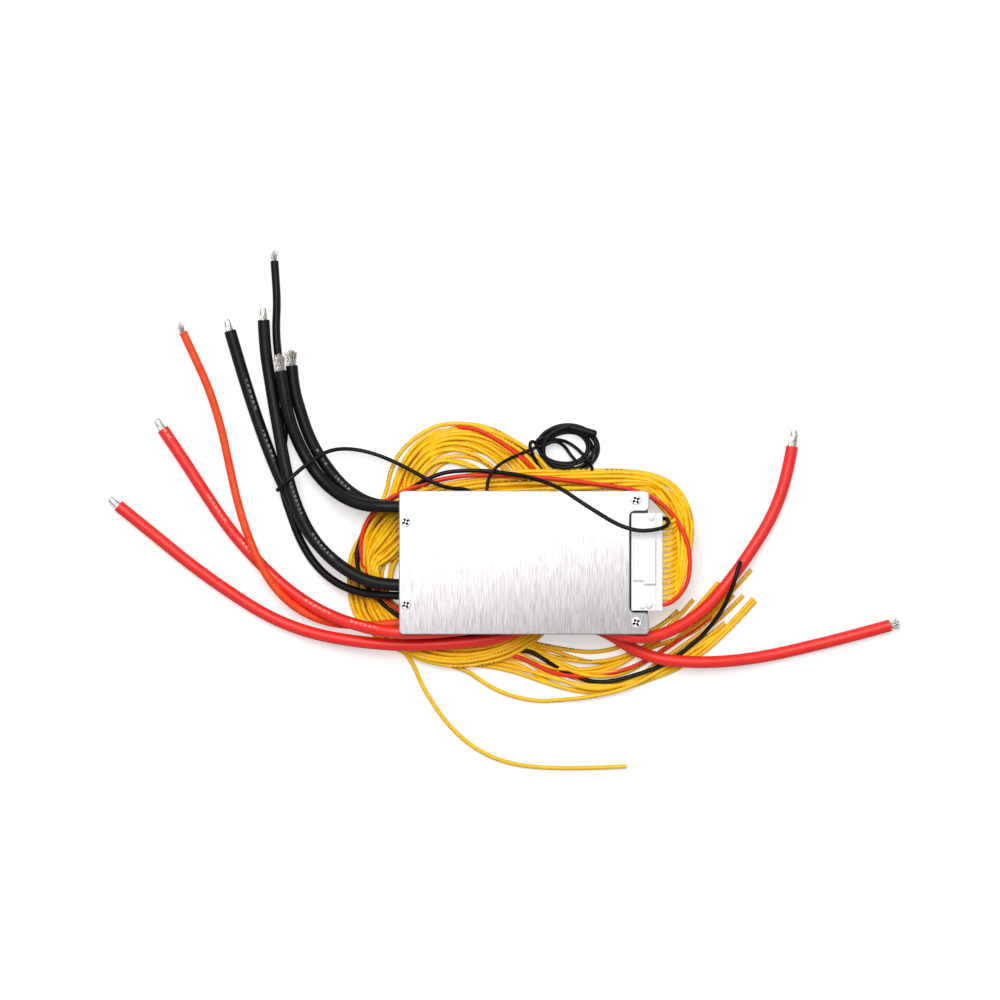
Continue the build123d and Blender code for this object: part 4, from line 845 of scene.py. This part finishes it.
# Extruded yellow vinyl: warm, with a line of light and dark specks of print. The three differ in
# where the print starts and on which side of the wire it lies.
YELLOW_INK = "#3C2C0C"
yellow_vinyls = [
    printed_insulation(
        f"yellow wire vinyl {turn + 1}", YELLOWS, (0.3, 0.4), YELLOW_INK,
        (560, 16, 47, 17 * turn, 1.3, (0.15 + 0.35 * turn) % 1, 0.06), **GLOSSY_VINYL,
    )
    for turn in range(3)
]
for order in range(YELLOW_COUNT):
    harness_wire(
        f"yellow_wire_{order + 1}", yellow_wire(order), yellow_vinyls[order % 3],
        HARNESS_NODES,
    )
harness_wire("red_wire", BALANCE_RED, red_pvc, ["harness_turns"])
harness_wire(
    "black_wire", BALANCE_BLACK + BALANCE_BLACK_REST, black_pvc, ["balance_black"]
)

signal = cable("signal_wire", SIGNAL_LEAD, 1.5, black_pvc)
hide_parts("signal_lead")
sensor_route = SENSOR_LEAD + COIL_LEAD_IN + coil_points() + COIL_REST
sensor = cable("sensor_wire", sensor_route, 1.3, black_pvc, 6, 4)
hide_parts("sensor_lead", "sensor_coil")


TABLE_LIFT = 0.47
TABLE_TINT = (1.0, 0.985, 0.975, 1.0)
ROOM_LEVEL = 0.27


def lay_table():
    """Matt painted table top: even white, it keeps the shadows and the camera sees it brighter."""
    bpy.ops.object.select_all(action="DESELECT")
    bpy.ops.mesh.primitive_plane_add(size=4.0)
    table = bpy.context.object
    table.name = "table"
    material = bpy.data.materials.new("white table top")
    material.use_nodes = True
    tree = material.node_tree
    shader = tree.nodes["Principled BSDF"]
    shader.inputs["Base Color"].default_value = linear("#D8D8D8")
    shader.inputs["Roughness"].default_value = 0.9
    shader.inputs["Specular IOR Level"].default_value = 0.0
    path = add(tree, "ShaderNodeLightPath")
    seen = maths(tree, "MULTIPLY", path.outputs["Is Camera Ray"], TABLE_LIFT)
    shader.inputs["Emission Color"].default_value = TABLE_TINT
    tree.links.new(seen, shader.inputs["Emission Strength"])
    table.data.materials.append(material)


def hang_lamp(name, place, aim, size, watts, turn=0.0):
    lamp = bpy.data.lights.new(name, "AREA")
    lamp.shape = "SQUARE"
    lamp.size = size
    lamp.energy = watts
    holder = bpy.data.objects.new(name, lamp)
    holder.location = place
    holder.rotation_euler = (Vector(aim) - Vector(place)).to_track_quat("-Z", "Y").to_euler()
    holder.rotation_euler.z += turn
    scene.collection.objects.link(holder)


def light_room():
    """Even white room; mirrors and the camera see it at full white."""
    world = bpy.data.worlds.new("studio")
    world.use_nodes = True
    tree = world.node_tree
    tree.nodes.clear()
    path = add(tree, "ShaderNodeLightPath").outputs
    seen = maths(tree, "MAXIMUM", path["Is Camera Ray"], path["Is Glossy Ray"])
    seen = maths(tree, "MAXIMUM", seen, path["Is Transmission Ray"])
    level = add(tree, "ShaderNodeMapRange", {"To Min": ROOM_LEVEL, "To Max": 1.0}, {"Value": seen})
    sky = add(
        tree, "ShaderNodeBackground", {"Color": (1.0, 1.0, 1.0, 1.0)},
        {"Strength": level.outputs["Result"]},
    )
    add(tree, "ShaderNodeOutputWorld", {}, {"Surface": sky.outputs["Background"]})
    scene.world = world


# Lamps, in metres and watts: one from behind the far edge for shape, and one high up, whose
# mirror image is the white glare on the cover; its edge, a little turned, is the glare's lower end
SOFTBOX_PLACE = (-0.088, 0.397)
SOFTBOX_TURN = math.radians(13.5)
lay_table()
light_room()
hang_lamp("key_lamp", (-0.12, 0.5, 1.1), (0, 0, 0), 0.8, 11.4)
hang_lamp(
    "overhead_softbox", (*SOFTBOX_PLACE, 2.2), (*SOFTBOX_PLACE, 0), 0.9, 7.6, SOFTBOX_TURN
)
